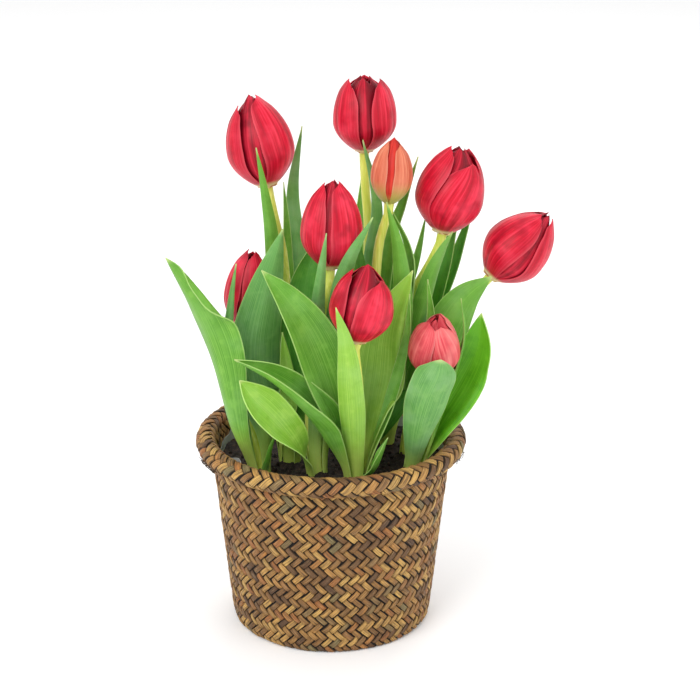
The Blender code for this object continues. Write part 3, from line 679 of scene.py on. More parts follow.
# %% Small leaves, greens and folds
SMALL_LEAVES = {
    "left_tall_cross": {
        "plant": "left_tall", "side": 335, "ring": 2, "rib": [(-22, -12, 137), (-9, -12, 158)],
        "tip": (4, -10, 170), "width": 11, "face": (280, 50), "hollow": 60, "fullness": 2.2,
    },
    "left_tall_behind": {
        "plant": "left_tall", "side": 95, "ring": 0, "rib": [(-28, 18, 197), (-29, 31, 259)],
        "tip": (-31, 37, 293), "width": 10, "face": (280, 0), "hollow": 60, "fullness": 2.0,
    },
    "right_bud_narrow": {
        "plant": "right_bud", "side": 95, "ring": 1, "rib": [(61, -10, 165), (65, -8, 210)],
        "tip": (63, -8, 240), "width": 11, "face": (280, 0), "hollow": 60, "fullness": 1.8,
    },
    "right_bud_curled": {
        "plant": "right_bud", "side": 340, "ring": 2, "rib": [(77, -24, 165), (87, -20, 203)],
        "tip": (84, -20, 231), "width": 7, "face": (190, 10), "hollow": 130, "fullness": 2.2,
    },
    "left_low_sprout": {
        "plant": "left_low", "side": 300, "ring": 0, "rib": [(-40, -36, 125), (-38, -38, 135)],
        "tip": (-35, -38, 146), "width": 7, "face": (150, 10), "hollow": 110, "fullness": 1.8,
    },
    "front_small_tip": {
        "plant": "front", "side": 355, "ring": 1, "rib": [(38, -30, 160), (49, -22, 205)],
        "tip": (51, -20, 234), "width": 9, "face": (260, 0), "hollow": 60, "fullness": 1.8,
    },
    "back_left_low": {
        "plant": "left_tall", "side": 140, "ring": 1, "rib": [(-40, 10, 150), (-52, 22, 190)],
        "tip": (-60, 30, 222), "width": 20, "face": (320, 10), "hollow": 60, "fullness": 2.0,
    },
}
LOOKS = {
    "left_low_outer": {"green": "fresh", "fold": (-1, 0.60, -150, 0.66, 1.0), "wave": 1.0},
    "left_low_front": {"green": "sea"},
    "left_low_broad": {"green": "sea"},
    "front_back_left": {"green": "fresh", "wave": 1.1},
    "front_low_left": {"green": "fresh", "crease": 34},
    "front_narrow": {"green": "young"},
    "front_right": {"green": "young", "fold": (1, 0.62, -75, 0.35, 1.0)},
    "front_sprout": {"green": "fresh"},
    "centre_low": {"green": "young", "crease": 18},
    "centre_front": {"green": "sea"},
    "centre_right": {"green": "sea"},
    "centre_back": {"green": "deep"},
    "left_tall_low": {"green": "young"},
    "left_tall_right": {"green": "sea"},
    "back_tall_right": {"green": "sea"},
    "back_tall_front": {"green": "deep"},
    "back_tall_low": {"green": "fresh"},
    "back_bud_low": {"green": "deep"},
    "right_tall_behind": {"green": "deep"},
    "right_tall_right": {"green": "deep"},
    "right_nodding_broad": {"green": "fresh", "wave": 1.2},
    "right_bud_front": {"green": "sea", "wave": 0.8},
    "right_bud_back": {"green": "vivid", "fold": (1, 0.70, -80, 0.10, 0.75), "wave": 1.0},
}

# %% [markdown]
# A blade is a grid bent by a formula, because no stroke of a modelling tool follows so many twists at
# once. Along it the grid follows the midrib. Across it each row is an arc: the angle of the surface grows
# from the midrib outwards, and a crease or a fold adds to that angle. Summing small steps at those angles
# gives the row, so its true width stays right however much it curls. Solidify gives it its thickness.

# %% Blades
LEAF_FOOT = SOIL_TOP - 4.0
LEAF_THICKNESS = 0.7
SOLID_LEAF_THICKNESS = 0.9
GAP = 0.35
CLASP_RADIUS = STEM_BASE_RADIUS + GAP + SOLID_LEAF_THICKNESS / 2 + 0.1
RING_STEP = SOLID_LEAF_THICKNESS + GAP + 0.1
CLASP_ANGLE = math.radians(84)
BLADE_ROWS = 60
BLADE_COLUMNS = 16
FINE_ROWS = 121
FINE_COLUMNS = 97
STEM_SAMPLES = 6
TIP_WIDTH = 0.35
CREASE_SHARE = 0.07  # share of the half width that a midrib's crease takes up
FOLD_ENDS = 0.15  # share of a leaf's length over which a fold begins and ends
FOLD_BEND = 0.2  # share of the half width over which a fold turns
TWIST_RATE = 1.6  # a leaf has turned its face when 1 / TWIST_RATE of its length has passed


def turned_about(vector, axis, angle):
    """The vector turned about a unit axis by an angle in radians."""
    across = np.cross(axis, vector)
    along = axis * np.dot(axis, vector)
    return vector * math.cos(angle) + across * math.sin(angle) + along * (1 - math.cos(angle))


def leaf_frames(leaf):
    """Along the midrib: its points, the directions across the blade and towards its inner face.

    The last value is the radius in mm at which the leaf clasps its stem.
    """
    plant = PLANTS[leaf["plant"]]
    bloom_foot, axis, _ = bloom_axis(plant)
    out = np.array([*plant["exit"], SOIL_TOP], float)
    lean = unit(out - np.array([*plant["bulb"], BULB_TIP], float))
    above = smooth_path([out, *plant["stem"], bloom_foot - axis * NECK], STEM_SAMPLES, (0, 0, 1))
    grow = unit(above[1] - out)
    ring = CLASP_RADIUS + RING_STEP * leaf["ring"]
    foot = out + lean * (LEAF_FOOT - SOIL_TOP) / lean[2] + heading(leaf["side"]) * ring
    rib = smooth_path([foot, *leaf["rib"], leaf["tip"]], FINE_ROWS, grow)
    inner = -heading(leaf["side"])
    frames = []
    for row in range(FINE_ROWS):
        along = unit(rib[min(row + 1, FINE_ROWS - 1)] - rib[max(row - 1, 0)])
        inner = unit(inner - along * np.dot(inner, along))
        frames.append((along, inner))
    along, inner = frames[-1]
    wanted = heading(*leaf["face"])
    wanted = unit(wanted - along * np.dot(wanted, along))
    twist = math.atan2(np.dot(np.cross(inner, wanted), along), np.dot(inner, wanted))
    sides, inners = [], []
    for row, (along, inner) in enumerate(frames):
        inner = turned_about(inner, along, twist * smoothstep(row / (FINE_ROWS - 1) * TWIST_RATE))
        sides.append(np.cross(along, inner))
        inners.append(inner)
    return rib, np.array(sides), np.array(inners), ring


def blade_surface(leaf, look, seed):
    """A function of (u, v), in shares of the blade's width and length, giving its points in mm."""
    draw = np.random.default_rng(seed)
    rib, sides, inners, ring = leaf_frames(leaf)
    v = np.linspace(0, 1, FINE_ROWS)[:, None]
    c = np.linspace(-1, 1, FINE_COLUMNS)[None, :]
    widest = leaf.get("widest", 0.45)
    foot_width = min(ring * CLASP_ANGLE, leaf["width"])
    rising = mix(foot_width, leaf["width"], smoothstep(v / widest))
    falling = leaf["width"] * (1 - np.clip((v - widest) / (1 - widest), 0, 1) ** leaf["fullness"])
    width = np.maximum(np.where(v < widest, rising, falling), TIP_WIDTH)
    bend = mix(foot_width / ring, math.radians(leaf["hollow"]), smoothstep(v / widest))
    angle = bend / 2 * c
    grown = smoothstep((v - 0.08) / 0.3)
    crease = math.radians(look.get("crease", 10))
    angle = angle + crease * np.tanh(c / CREASE_SHARE) * grown
    if "fold" in look:
        side, start, degrees, low, high = look["fold"]
        stretch = smoothstep((v - low) / FOLD_ENDS) * smoothstep((high - v) / FOLD_ENDS + 0.001)
        beyond = smoothstep((c * side - start) / FOLD_BEND)
        angle = angle + side * math.radians(degrees) * beyond * stretch
    step = np.diff(c, axis=1) * width / 2
    middle = (angle[:, 1:] + angle[:, :-1]) / 2
    zero = np.zeros((FINE_ROWS, 1))
    reach = np.hstack([zero, np.cumsum(np.cos(middle) * step, axis=1)])
    lift = np.hstack([zero, np.cumsum(np.sin(middle) * step, axis=1)])
    centre = FINE_COLUMNS // 2
    reach -= reach[:, centre : centre + 1]
    lift -= lift[:, centre : centre + 1]
    waves = draw.uniform(1.6, 3.0, 2)
    phases = draw.uniform(0, 2 * math.pi, 2)
    often = np.where(c > 0, waves[0], waves[1])
    shift = np.where(c > 0, phases[0], phases[1])
    ripple = np.abs(c) ** 2.2 * np.sin(2 * math.pi * often * v + shift) * grown * width / leaf["width"]
    lift += ripple * look.get("wave", 0.7) * min(leaf["width"] / 30, 1.0)
    points = rib[:, None, :] + sides[:, None, :] * reach[..., None] + inners[:, None, :] * lift[..., None]

    def surface(across, along):
        row, column = along * (FINE_ROWS - 1), across * (FINE_COLUMNS - 1)
        r0 = np.clip(row.astype(int), 0, FINE_ROWS - 2)
        c0 = np.clip(column.astype(int), 0, FINE_COLUMNS - 2)
        fr, fc = (row - r0)[:, None], (column - c0)[:, None]
        low = mix(points[r0, c0], points[r0, c0 + 1], fc)
        high = mix(points[r0 + 1, c0], points[r0 + 1, c0 + 1], fc)
        return mix(low, high, fr)

    return surface


def make_blade(name, leaf, seed, nodes):
    """One leaf, which stands for these nodes."""
    look = LOOKS.get(name, {})
    obj = add(
        bpy.ops.mesh.primitive_grid_add, "blade_" + name, size=1, calc_uvs=True,
        x_subdivisions=BLADE_COLUMNS, y_subdivisions=BLADE_ROWS,
    )
    place_grid(obj, blade_surface(leaf, look, seed))
    apply_modifier(obj, "SOLIDIFY", thickness=LEAF_THICKNESS * MM, offset=0.0)
    return finish_piece(obj, LEAF_GREENS[look.get("green", "fresh")], nodes, 80)


for seed, (leaf_name, leaf) in enumerate(LEAVES.items()):
    make_blade(leaf_name, leaf, seed, ["leaf_" + leaf_name])
for seed, (leaf_name, leaf) in enumerate(SMALL_LEAVES.items(), 100):
    make_blade(leaf_name, leaf, seed, [])
print("leaves:", len(LEAVES), "with a solid and", len(SMALL_LEAVES), "small ones")

# %% [markdown]
# A tulip has three outer petals over three inner ones. Closed, they wrap each other like the staves of
# a barrel and meet at the top. Each petal is a grid bent by a formula: its middle line follows the
# bloom's outline, and it curves across on a radius of its own, so that its margins lie over or under
# its neighbours'. What makes one bloom differ from the next is in its row: where each petal stands
# about the axis, how far it reaches, and how far its tip leans out.

# %% Petals
PETAL_ROWS = 34
PETAL_COLUMNS = 22
PETAL_THICKNESS = 0.6
SHINGLE = 0.7  # mm by which one margin of a petal stands out and the other lies in
BLOOM_FOOT = 3.4  # mm, a bloom's half width at its foot
BELLY = 0.4  # share of a bloom's height at which it is widest
PETAL_BELLY = 0.48  # share of a petal's length at which it is widest
PETAL_FOOT = 0.36  # a petal's width at its foot, as a share of its widest
OUTER, INNER = "outer", "inner"
# How a layer closes: its share of the bloom's radius at the foot and at the top, and how late it changes.
CLOSING = {OUTER: (1.0, 0.86, 4), INNER: (0.88, 0.25, 5)}
CURL = {OUTER: 1.5, INNER: 0.6}  # mm by which a tip bends in
TUCK = {OUTER: 0.27, INNER: 0.48}  # mm by which a petal curves tighter than the bloom
ROLL = {OUTER: 0.9, INNER: 0.0}  # mm by which the margins roll out
# One row a petal: its bearing about the bloom's axis in degrees (270 faces the viewer), its layer, its
# length as a share of the bloom's height, its half width as a share of the bloom's width, how far its
# tip leans out, as a share of the width, and by how many degrees it has turned about the axis at its tip.
BLOOM_PETALS = {
    "left_tall": [
        (193, OUTER, 0.91, 0.46, 0.03, -4), (341, OUTER, 0.99, 0.55, 0.00, 4),
        (90, OUTER, 0.97, 0.50, 0.00, 0), (262, INNER, 1.00, 0.42, 0.00, 0),
        (25, INNER, 0.98, 0.42, 0.00, 0), (150, INNER, 1.00, 0.42, 0.00, 0),
    ],
    "back_tall": [
        (213, OUTER, 0.98, 0.46, 0.06, -14), (338, OUTER, 0.98, 0.46, 0.06, 4),
        (90, OUTER, 0.98, 0.50, 0.02, 0), (262, INNER, 0.99, 0.46, 0.02, -8),
        (30, INNER, 1.00, 0.46, 0.03, -25), (150, INNER, 1.00, 0.44, 0.02, 0),
    ],
    "back_bud": [
        (207, OUTER, 0.94, 0.47, 0.00, -10), (327, OUTER, 0.90, 0.47, 0.00, 12),
        (85, OUTER, 0.97, 0.50, 0.00, 0), (262, INNER, 1.00, 0.42, 0.00, 0),
        (20, INNER, 0.98, 0.42, 0.00, 0), (140, INNER, 0.97, 0.42, 0.00, 0),
    ],
    "right_tall": [
        (278, OUTER, 0.84, 0.56, 0.00, 48), (178, OUTER, 0.98, 0.50, 0.02, 30),
        (40, OUTER, 0.96, 0.52, 0.03, 0), (228, INNER, 0.97, 0.50, 0.03, 40),
        (345, INNER, 0.97, 0.46, 0.03, 0), (110, INNER, 0.98, 0.44, 0.00, 0),
    ],
    "right_nodding": [
        (216, OUTER, 0.94, 0.48, 0.00, 4), (350, OUTER, 0.98, 0.45, 0.00, -6),
        (100, OUTER, 0.97, 0.50, 0.00, 0), (284, INNER, 0.97, 0.42, 0.00, 0),
        (40, INNER, 0.98, 0.42, 0.00, 0), (160, INNER, 1.00, 0.44, 0.01, 0),
    ],
    "centre": [
        (203, OUTER, 0.97, 0.51, 0.01, -12), (331, OUTER, 0.99, 0.54, 0.00, 10),
        (90, OUTER, 0.97, 0.50, 0.00, 0), (262, INNER, 0.99, 0.42, 0.00, 0),
        (25, INNER, 1.00, 0.42, 0.00, 0), (150, INNER, 0.97, 0.42, 0.00, 0),
    ],
    "left_low": [
        (203, OUTER, 1.00, 0.47, 0.02, -6), (320, OUTER, 0.99, 0.52, 0.01, 0),
        (85, OUTER, 0.96, 0.50, 0.00, 0), (262, INNER, 0.90, 0.40, 0.00, 0),
        (25, INNER, 0.95, 0.42, 0.00, 0), (145, INNER, 0.95, 0.42, 0.00, 0),
    ],
    "front": [
        (190, OUTER, 0.92, 0.43, 0.06, 0), (314, OUTER, 0.83, 0.56, 0.00, 28),
        (85, OUTER, 0.97, 0.50, 0.00, 0), (252, INNER, 1.00, 0.46, 0.00, 10),
        (20, INNER, 0.97, 0.42, 0.00, 0), (145, INNER, 0.97, 0.42, 0.00, 0),
    ],
    "right_bud": [
        (207, OUTER, 0.92, 0.48, 0.02, 12), (322, OUTER, 0.87, 0.54, 0.00, -28),
        (65, OUTER, 0.98, 0.52, 0.02, -20), (256, INNER, 0.93, 0.44, 0.00, 0),
        (5, INNER, 1.00, 0.46, 0.03, -18), (150, INNER, 0.96, 0.42, 0.00, 0),
    ],
}
BLOOM_COLOURS = {"back_bud": "salmon", "right_bud": "coral"}


def bloom_radius(share, width, mouth):
    """The half width of a closed tulip at a share of its height: round at its foot, drawn in on top."""
    low = mix(BLOOM_FOOT, width / 2, np.sin(math.pi / 2 * np.clip(share / BELLY, 0, 1)) ** 0.8)
    high = mix(width / 2, width / 2 * mouth, np.clip((share - BELLY) / (1 - BELLY), 0, 1) ** 2.2)
    return np.where(share < BELLY, low, high)


def petal_surface(plant, petal, draw):
    """A function of (u, v), in shares of the petal's width and length, giving its points in mm."""
    bearing, layer, reach, half_width, lean, twist = petal
    foot, axis, height = bloom_axis(plant)
    side = unit(np.cross(axis, [0, -1, 0.01]))
    front = np.cross(axis, side)
    width = plant["width"]
    at_foot, at_top, lateness = CLOSING[layer]
    phases = draw.uniform(0, 2 * math.pi, 4)

    def surface(u, v):
        c = 2 * u - 1
        turn = np.radians(bearing + twist * v**2)[:, None]
        out = side * np.cos(turn) + front * np.sin(turn)
        around = -side * np.sin(turn) + front * np.cos(turn)
        widening = mix(PETAL_FOOT, 1.0, np.sin(math.pi / 2 * np.clip(v / PETAL_BELLY, 0, 1)))
        rounding = (1 - np.clip((v - PETAL_BELLY) / (1 - PETAL_BELLY), 0, 1) ** 3.2) ** 0.52
        spread = np.where(v < PETAL_BELLY, widening, rounding)
        rise = height * reach * (v - 0.045 * c * c * v**3)
        share = np.clip(rise / height, 0, 1)
        radius = bloom_radius(share, width, plant["mouth"]) * mix(at_foot, at_top, v**lateness)
        narrowing = np.clip(radius / (0.5 * width), 0.2, 1) ** np.where(v < BELLY, 0.0, 0.35)
        half = width * half_width * spread * narrowing
        radius = radius + lean * width * v**2.5 - CURL[layer] * smoothstep((v - 0.82) / 0.18)
        curve = np.maximum(radius * mix(1.0, 0.86, v) - TUCK[layer], 0.15 * width)
        angle = half * c / curve
        sideways = curve * np.sin(angle)
        outward = radius - curve * (1 - np.cos(angle))
        groove = 0.55 * np.exp(-((c / 0.07) ** 2)) * smoothstep(v / 0.2) * smoothstep((1 - v) / 0.1)
        folds = (0.34 * np.sin(6 * c + phases[0]) + 0.14 * np.sin(15 * c + 5 * v + phases[1])) * v * spread
        rim = np.abs(c) ** 6 * np.sin(9 * v + phases[2] + np.sign(c)) * 0.9 * v * spread
        rolled = ROLL[layer] * np.abs(c) ** 5 * v * spread
        outward = outward - groove + folds + rim + rolled + SHINGLE * c * spread
        return foot + axis * rise[:, None] + out * outward[:, None] + around * sideways[:, None]

    return surface


def joined(name, objects):
    """One object from several."""
    bpy.ops.object.select_all(action="DESELECT")
    for obj in objects:
        obj.select_set(True)
    bpy.context.view_layer.objects.active = objects[0]
    bpy.ops.object.join()
    whole = bpy.context.object
    whole.name = whole.data.name = name
    return whole


def make_bloom(name, plant, seed):
    """One bloom: an object for its outer petals and one for its inner ones."""
    draw = np.random.default_rng(seed)
    kind = BLOOM_COLOURS.get(name, "red")
    layers = {OUTER: [], INNER: []}
    for index, petal in enumerate(BLOOM_PETALS[name]):
        obj = add(
            bpy.ops.mesh.primitive_grid_add, f"petal_{index}", size=1, calc_uvs=True,
            x_subdivisions=PETAL_COLUMNS, y_subdivisions=PETAL_ROWS,
        )
        place_grid(obj, petal_surface(plant, petal, draw))
        apply_modifier(obj, "SOLIDIFY", thickness=PETAL_THICKNESS * MM, offset=0.0)
        layers[petal[1]].append(obj)
    for material, (layer, petals) in zip(PETAL_COLOURS[kind], layers.items()):
        whole = joined(f"petals_{name}_{layer}", petals)
        finish_piece(whole, material, ["bloom_" + name], 80)


for seed, (plant_name, plant) in enumerate(PLANTS.items(), 200):
    make_bloom(plant_name, plant, seed)
print("blooms:", len(PLANTS))

# %% [markdown]
# Soil is a lumpy surface with loose crumbs on it, heaped a little round each stem. The grid is wound into
# a disc: the larger of a point's two coordinates is its distance from the middle. Its outermost rings run
# down the wall and back to the middle below, so the heap is closed. The crumbs are copies of one small
# stone, each with lumps and proportions of its own.

# %% Soil
BASE_RADIUS = 66.7
WALL_TAPER = (80.4 - BASE_RADIUS) / 126.5
SOIL_INSET = 4.6
SOIL_FLOOR = 6.0
SOIL_MIDDLE = 60.0
SOIL_RINGS = 60
TOP_RINGS = 56
LUMPS = [
    # plane of the noise, lumps per mm, height in mm
    (0, 0.07, 2.2),
    (10, 0.22, 1.3),
    (20, 0.6, 0.7),
]
HEAP_HEIGHT = 2.4
HEAP_WIDTH = 9.0
CRUMBS = 520
CRUMB_REACH = 73
CRUMB_RADIUS = 2.3


def wall_radius(height):
    """The basket's outer radius under its rim at a height, both in mm."""
    return BASE_RADIUS + WALL_TAPER * height


def soil_height(x, y):
    """Lumps of three sizes, and a heap round each stem."""
    height = np.full(len(x), SOIL_TOP)
    for plane, size, amount in LUMPS:
        places = zip(x * size, y * size)
        height += amount * np.array([noise.noise(Vector((px, py, plane))) for px, py in places])
    for plant in PLANTS.values():
        away = np.hypot(x - plant["exit"][0], y - plant["exit"][1])
        height += HEAP_HEIGHT * np.exp(-((away / HEAP_WIDTH) ** 2))
    return height


def soil_surface(u, v):
    """The unit grid wound into the closed heap: rings of the top first, then the edge and the underside."""
    a, b = 2 * u - 1, 2 * v - 1
    ring = np.rint(np.maximum(np.abs(a), np.abs(b)) * SOIL_RINGS)
    angle = np.arctan2(b, a)
    out = wall_radius(SOIL_TOP) - SOIL_INSET
    radius = out * np.minimum(ring / TOP_RINGS, 1.0)
    height = soil_height(radius * np.cos(angle), radius * np.sin(angle))
    below = [
        (TOP_RINGS + 1, out - 0.3, SOIL_TOP - 5),
        (TOP_RINGS + 2, wall_radius(SOIL_MIDDLE) - SOIL_INSET, SOIL_MIDDLE),
        (TOP_RINGS + 3, wall_radius(SOIL_FLOOR) - SOIL_INSET, SOIL_FLOOR),
        (SOIL_RINGS, 0.0, SOIL_FLOOR),
    ]
    for index, edge, depth in below:
        radius = np.where(ring == index, edge, radius)
        height = np.where(ring == index, depth, height)
    return np.stack([radius * np.cos(angle), radius * np.sin(angle), height], axis=1)


def stacked(name, template, shapes, tints):
    """One object with a copy of a template's faces for each array of points in mm, and a tint for each."""
    faces = np.array([list(face.vertices) for face in template.data.polygons])
    count = len(template.data.vertices)
    starts = np.arange(len(shapes))[:, None, None] * count
    mesh = bpy.data.meshes.new(name)
    corners = (faces + starts).reshape(-1, faces.shape[1])
    mesh.from_pydata((np.concatenate(shapes) * MM).tolist(), [], corners.tolist())
    tint = mesh.attributes.new("tint", "FLOAT", "POINT")
    tint.data.foreach_set("value", np.repeat(np.array(tints, np.float32), count))
    if template.data.uv_layers:
        flat = np.empty(len(template.data.loops) * 2, np.float32)
        template.data.uv_layers[0].data.foreach_get("uv", flat)
        mesh.uv_layers.new(name="UVMap").data.foreach_set("uv", np.tile(flat, len(shapes)))
    bpy.data.objects.remove(template, do_unlink=True)
    obj = bpy.data.objects.new(name, mesh)
    bpy.context.scene.collection.objects.link(obj)
    return obj


def template_points(template):
    """A template's points, before they are placed."""
    flat = np.empty(len(template.data.vertices) * 3)
    template.data.vertices.foreach_get("co", flat)
    return flat.reshape(-1, 3)


def soil_material():
    """Damp peat: nearly black brown, with paler dry crumbs and fibres."""
    material, tree, shader = new_material("peat", Roughness=0.92)
    where = add_node(tree, "TexCoord").outputs["Object"]
    coarse = add_node(tree, "TexNoise", Vector=where, Scale=260.0, Detail=5.0, Roughness=0.65).outputs[0]
    fine = add_node(tree, "TexNoise", Vector=where, Scale=1400.0, Detail=3.0).outputs[0]
    colour = ramp(tree, coarse, [(0.32, "0D0906"), (0.52, "241810"), (0.70, "4A3524"), (0.80, "7A6248")])
    colour = blend_colours(tree, level(tree, fine, 0.62, 0.78, 0.0, 0.7), colour, "8A7458")
    tree.links.new(colour, shader.inputs["Base Color"])
    relief = add_node(tree, "Math", {"operation": "ADD"}, i0=coarse, i1=fine).outputs[0]
    bump(tree, shader, relief, 0.0012)
    return material


PEAT = soil_material()
ground = add(
    bpy.ops.mesh.primitive_grid_add, "soil_surface", size=1,
    x_subdivisions=2 * SOIL_RINGS, y_subdivisions=2 * SOIL_RINGS,
)
place_grid(ground, soil_surface)
apply_modifier(ground, "WELD", merge_threshold=WELD)
face_outwards(ground)
finish_piece(ground, PEAT, ["soil"], 180)

stone = add(bpy.ops.mesh.primitive_ico_sphere_add, "crumb", subdivisions=2, radius=1)
rounded = template_points(stone)
draw = np.random.default_rng(5)
crumbs = []
for _ in range(CRUMBS):
    radius = CRUMB_REACH * math.sqrt(draw.uniform(0, 1))
    angle = draw.uniform(0, 2 * math.pi)
    x, y = radius * math.cos(angle), radius * math.sin(angle)
    size = draw.uniform(0.5, 1.0) ** 2 * CRUMB_RADIUS
    shape = rounded * draw.uniform(0.55, 1.0, 3) * draw.uniform(0.8, 1.2, (len(rounded), 1)) * size
    z = soil_height(np.array([x]), np.array([y]))[0] + size * 0.15
    crumbs.append(shape + (x, y, z))
crumb_pile = stacked("soil_crumbs", stone, crumbs, draw.uniform(0, 1, CRUMBS))
finish_piece(crumb_pile, PEAT, ["soil"], 180)
print("soil crumbs:", CRUMBS)

# %% [markdown]
# A thin plastic film lines the basket, so that water doesn't leak from it. It is one sheet pushed into the
# basket, so its edge is crumpled, and on the left it leans in over the soil. It lets some light through.

# %% Liner
FILM_THICKNESS = 0.25
FILM_FLOOR = 5.2
FILM_TOP = 120.0
FILM_CLEARANCE = 4.0  # mm from the basket's outside to the film, where it lies flat
FILM_ROWS = 30
FILM_SIDES = 200
FILM_FOLD = math.radians(207)


def film_surface(u, v):
    """The unit grid rolled into the film: its first row is the middle of its floor, its last its edge."""
    angle = 2 * math.pi * u
    row = np.rint(v * FILM_ROWS)
    rise = np.clip((row - 1) / (FILM_ROWS - 1), 0, 1)
    near_fold = np.exp(-((np.angle(np.exp(1j * (angle - FILM_FOLD))) / 0.22) ** 2))
    edge = FILM_TOP + 1.6 * np.sin(3 * angle + 1) + 1.1 * np.sin(8 * angle) + 0.7 * np.sin(19 * angle + 2)
    edge = edge + 4.5 * near_fold
    height = mix(FILM_FLOOR, edge, rise)
    crumple = np.sin(11 * angle + 0.3) + 0.7 * np.sin(23 * angle + 1.3 + height * 0.2)
    crumple = crumple + 0.5 * np.sin(41 * angle)
    inward = smoothstep((height - 106) / 14)
    radius = wall_radius(height) - FILM_CLEARANCE
    radius = radius - inward * (0.9 + 0.45 * crumple) - 7.5 * near_fold * inward**2
    radius = np.where(row == 0, 0.0, radius)
    return np.stack([radius * np.cos(angle), radius * np.sin(angle), height], axis=1)


def film_material():
    """Thin grey polythene: part of the light goes through, and the rest glances off its creases."""
    material, tree, shader = new_material(
        "grey_film", Roughness=0.22, IOR=1.5, Alpha=0.62, Base_Color=linear("C4C8C4")
    )
    where = add_node(tree, "TexCoord").outputs["Object"]
    creases = stretched_noise(tree, where, (1, 1, 0.35), 140.0, 3.0)
    bump(tree, shader, creases, 0.0008)
    return material


film = add(
    bpy.ops.mesh.primitive_grid_add, "liner_film", size=1,
    x_subdivisions=FILM_SIDES, y_subdivisions=FILM_ROWS,
)
place_grid(film, film_surface)
apply_modifier(film, "WELD", merge_threshold=WELD)
apply_modifier(film, "SOLIDIFY", thickness=FILM_THICKNESS * MM, offset=-1.0)
finish_piece(film, film_material(), ["liner"], 60)

# %% [markdown]
# The bulbs stay hidden in the soil, so their solids are kept as they are. Only their finish changes, to
# the papery brown skin of a tulip bulb, which splits lengthwise.

# %% Bulbs
def tunic_material():
    """Papery bulb skin in lengthwise strips of brown."""
    material, tree, shader = new_material("bulb_tunic_skin", Roughness=0.5)
    where = add_node(tree, "TexCoord").outputs["Object"]
    strips = stretched_noise(tree, where, (1, 1, 0.15), 420.0, 4.0)
    colour = ramp(tree, strips, [(0.3, "4A2412"), (0.52, "8A4B22"), (0.75, "BB7A3E")])
    tree.links.new(colour, shader.inputs["Base Color"])
    bump(tree, shader, strips, 0.0004)
    return material


TUNIC = tunic_material()
for plant_name in PLANTS:
    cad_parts["bulb_" + plant_name].data.materials[0] = TUNIC
print("bulbs:", len(PLANTS))

# %% [markdown]
# The basket is plaited on the slant: two families of rush strands cross at right angles, each going over
# two and under two, so short raised stretches lean one way in one row and the other way in the next. The
# pattern keeps its angle while the basket widens, which is what a conformal map does: divide the run along
# the wall by the radius there, and squares stay squares. So each stretch is placed on a flat diagonal
# lattice and then bent onto the wall, over the rolled rim and down inside. Under them a dark shell, painted
# shadow, closes the gaps. One stretch is modelled, and its copies differ a little in width, height and
# tint.

# %% Basket shell
RIM_RADIUS = 90.0
ROLL_RADIUS = 6.4
ROLL_HEIGHT = 126.5
WEAVE_DEPTH = 1.0
SHELL_WALL = 3.0
SHELL_SIDES = 144


def roll_points(radius, start, end, count):
    """Points on the rolled rim's section between two angles in degrees."""
    angles = np.radians(np.linspace(start, end, count))
    out = RIM_RADIUS - ROLL_RADIUS + radius * np.cos(angles)
    return list(zip(out, ROLL_HEIGHT + radius * np.sin(angles)))


def shell_profile():
    """The section in mm, from the middle of the underside round the rim to the middle of the floor."""
    outside = [(0, 0.9), (62, 0.9), (wall_radius(2) - 1.6, 1.6), (wall_radius(5) - WEAVE_DEPTH, 5)]
    outside.append((wall_radius(120) - WEAVE_DEPTH, 120))
    inside = [(wall_radius(110) - SHELL_WALL + 0.2, 110), (wall_radius(4) - SHELL_WALL, 4), (0, 4)]
    return outside + roll_points(ROLL_RADIUS - WEAVE_DEPTH, -125, 190, 26) + inside


def outline(name, points):
    """A mesh of edges through points in mm given as (radius, height)."""
    obj = add(bpy.ops.curve.primitive_nurbs_path_add, name)
    obj.data.splines.clear()
    spline = obj.data.splines.new("POLY")
    spline.points.add(len(points) - 1)
    for control, (radius, height) in zip(spline.points, points):
        control.co = (radius * MM, 0.0, height * MM, 1.0)
    activate(obj)
    bpy.ops.object.convert(target="MESH")
    return bpy.context.object


RUSH_TINTS = [
    (0.1, "5A3A1C"), (0.28, "92652F"), (0.45, "BC8A44"),
    (0.6, "DEB05E"), (0.74, "B06C2E"), (0.9, "8A7A4C"),
]
# Painted shade: a strand darkens towards its edges, where it meets its neighbours and dips under them.
SHADED_EDGE_MARGINS = (0.30, 0.20)  # how far in from its edges a strand darkens, across it and along it
TINT_STRIDE = 173.0  # far enough that each strand reads its own part of the noise


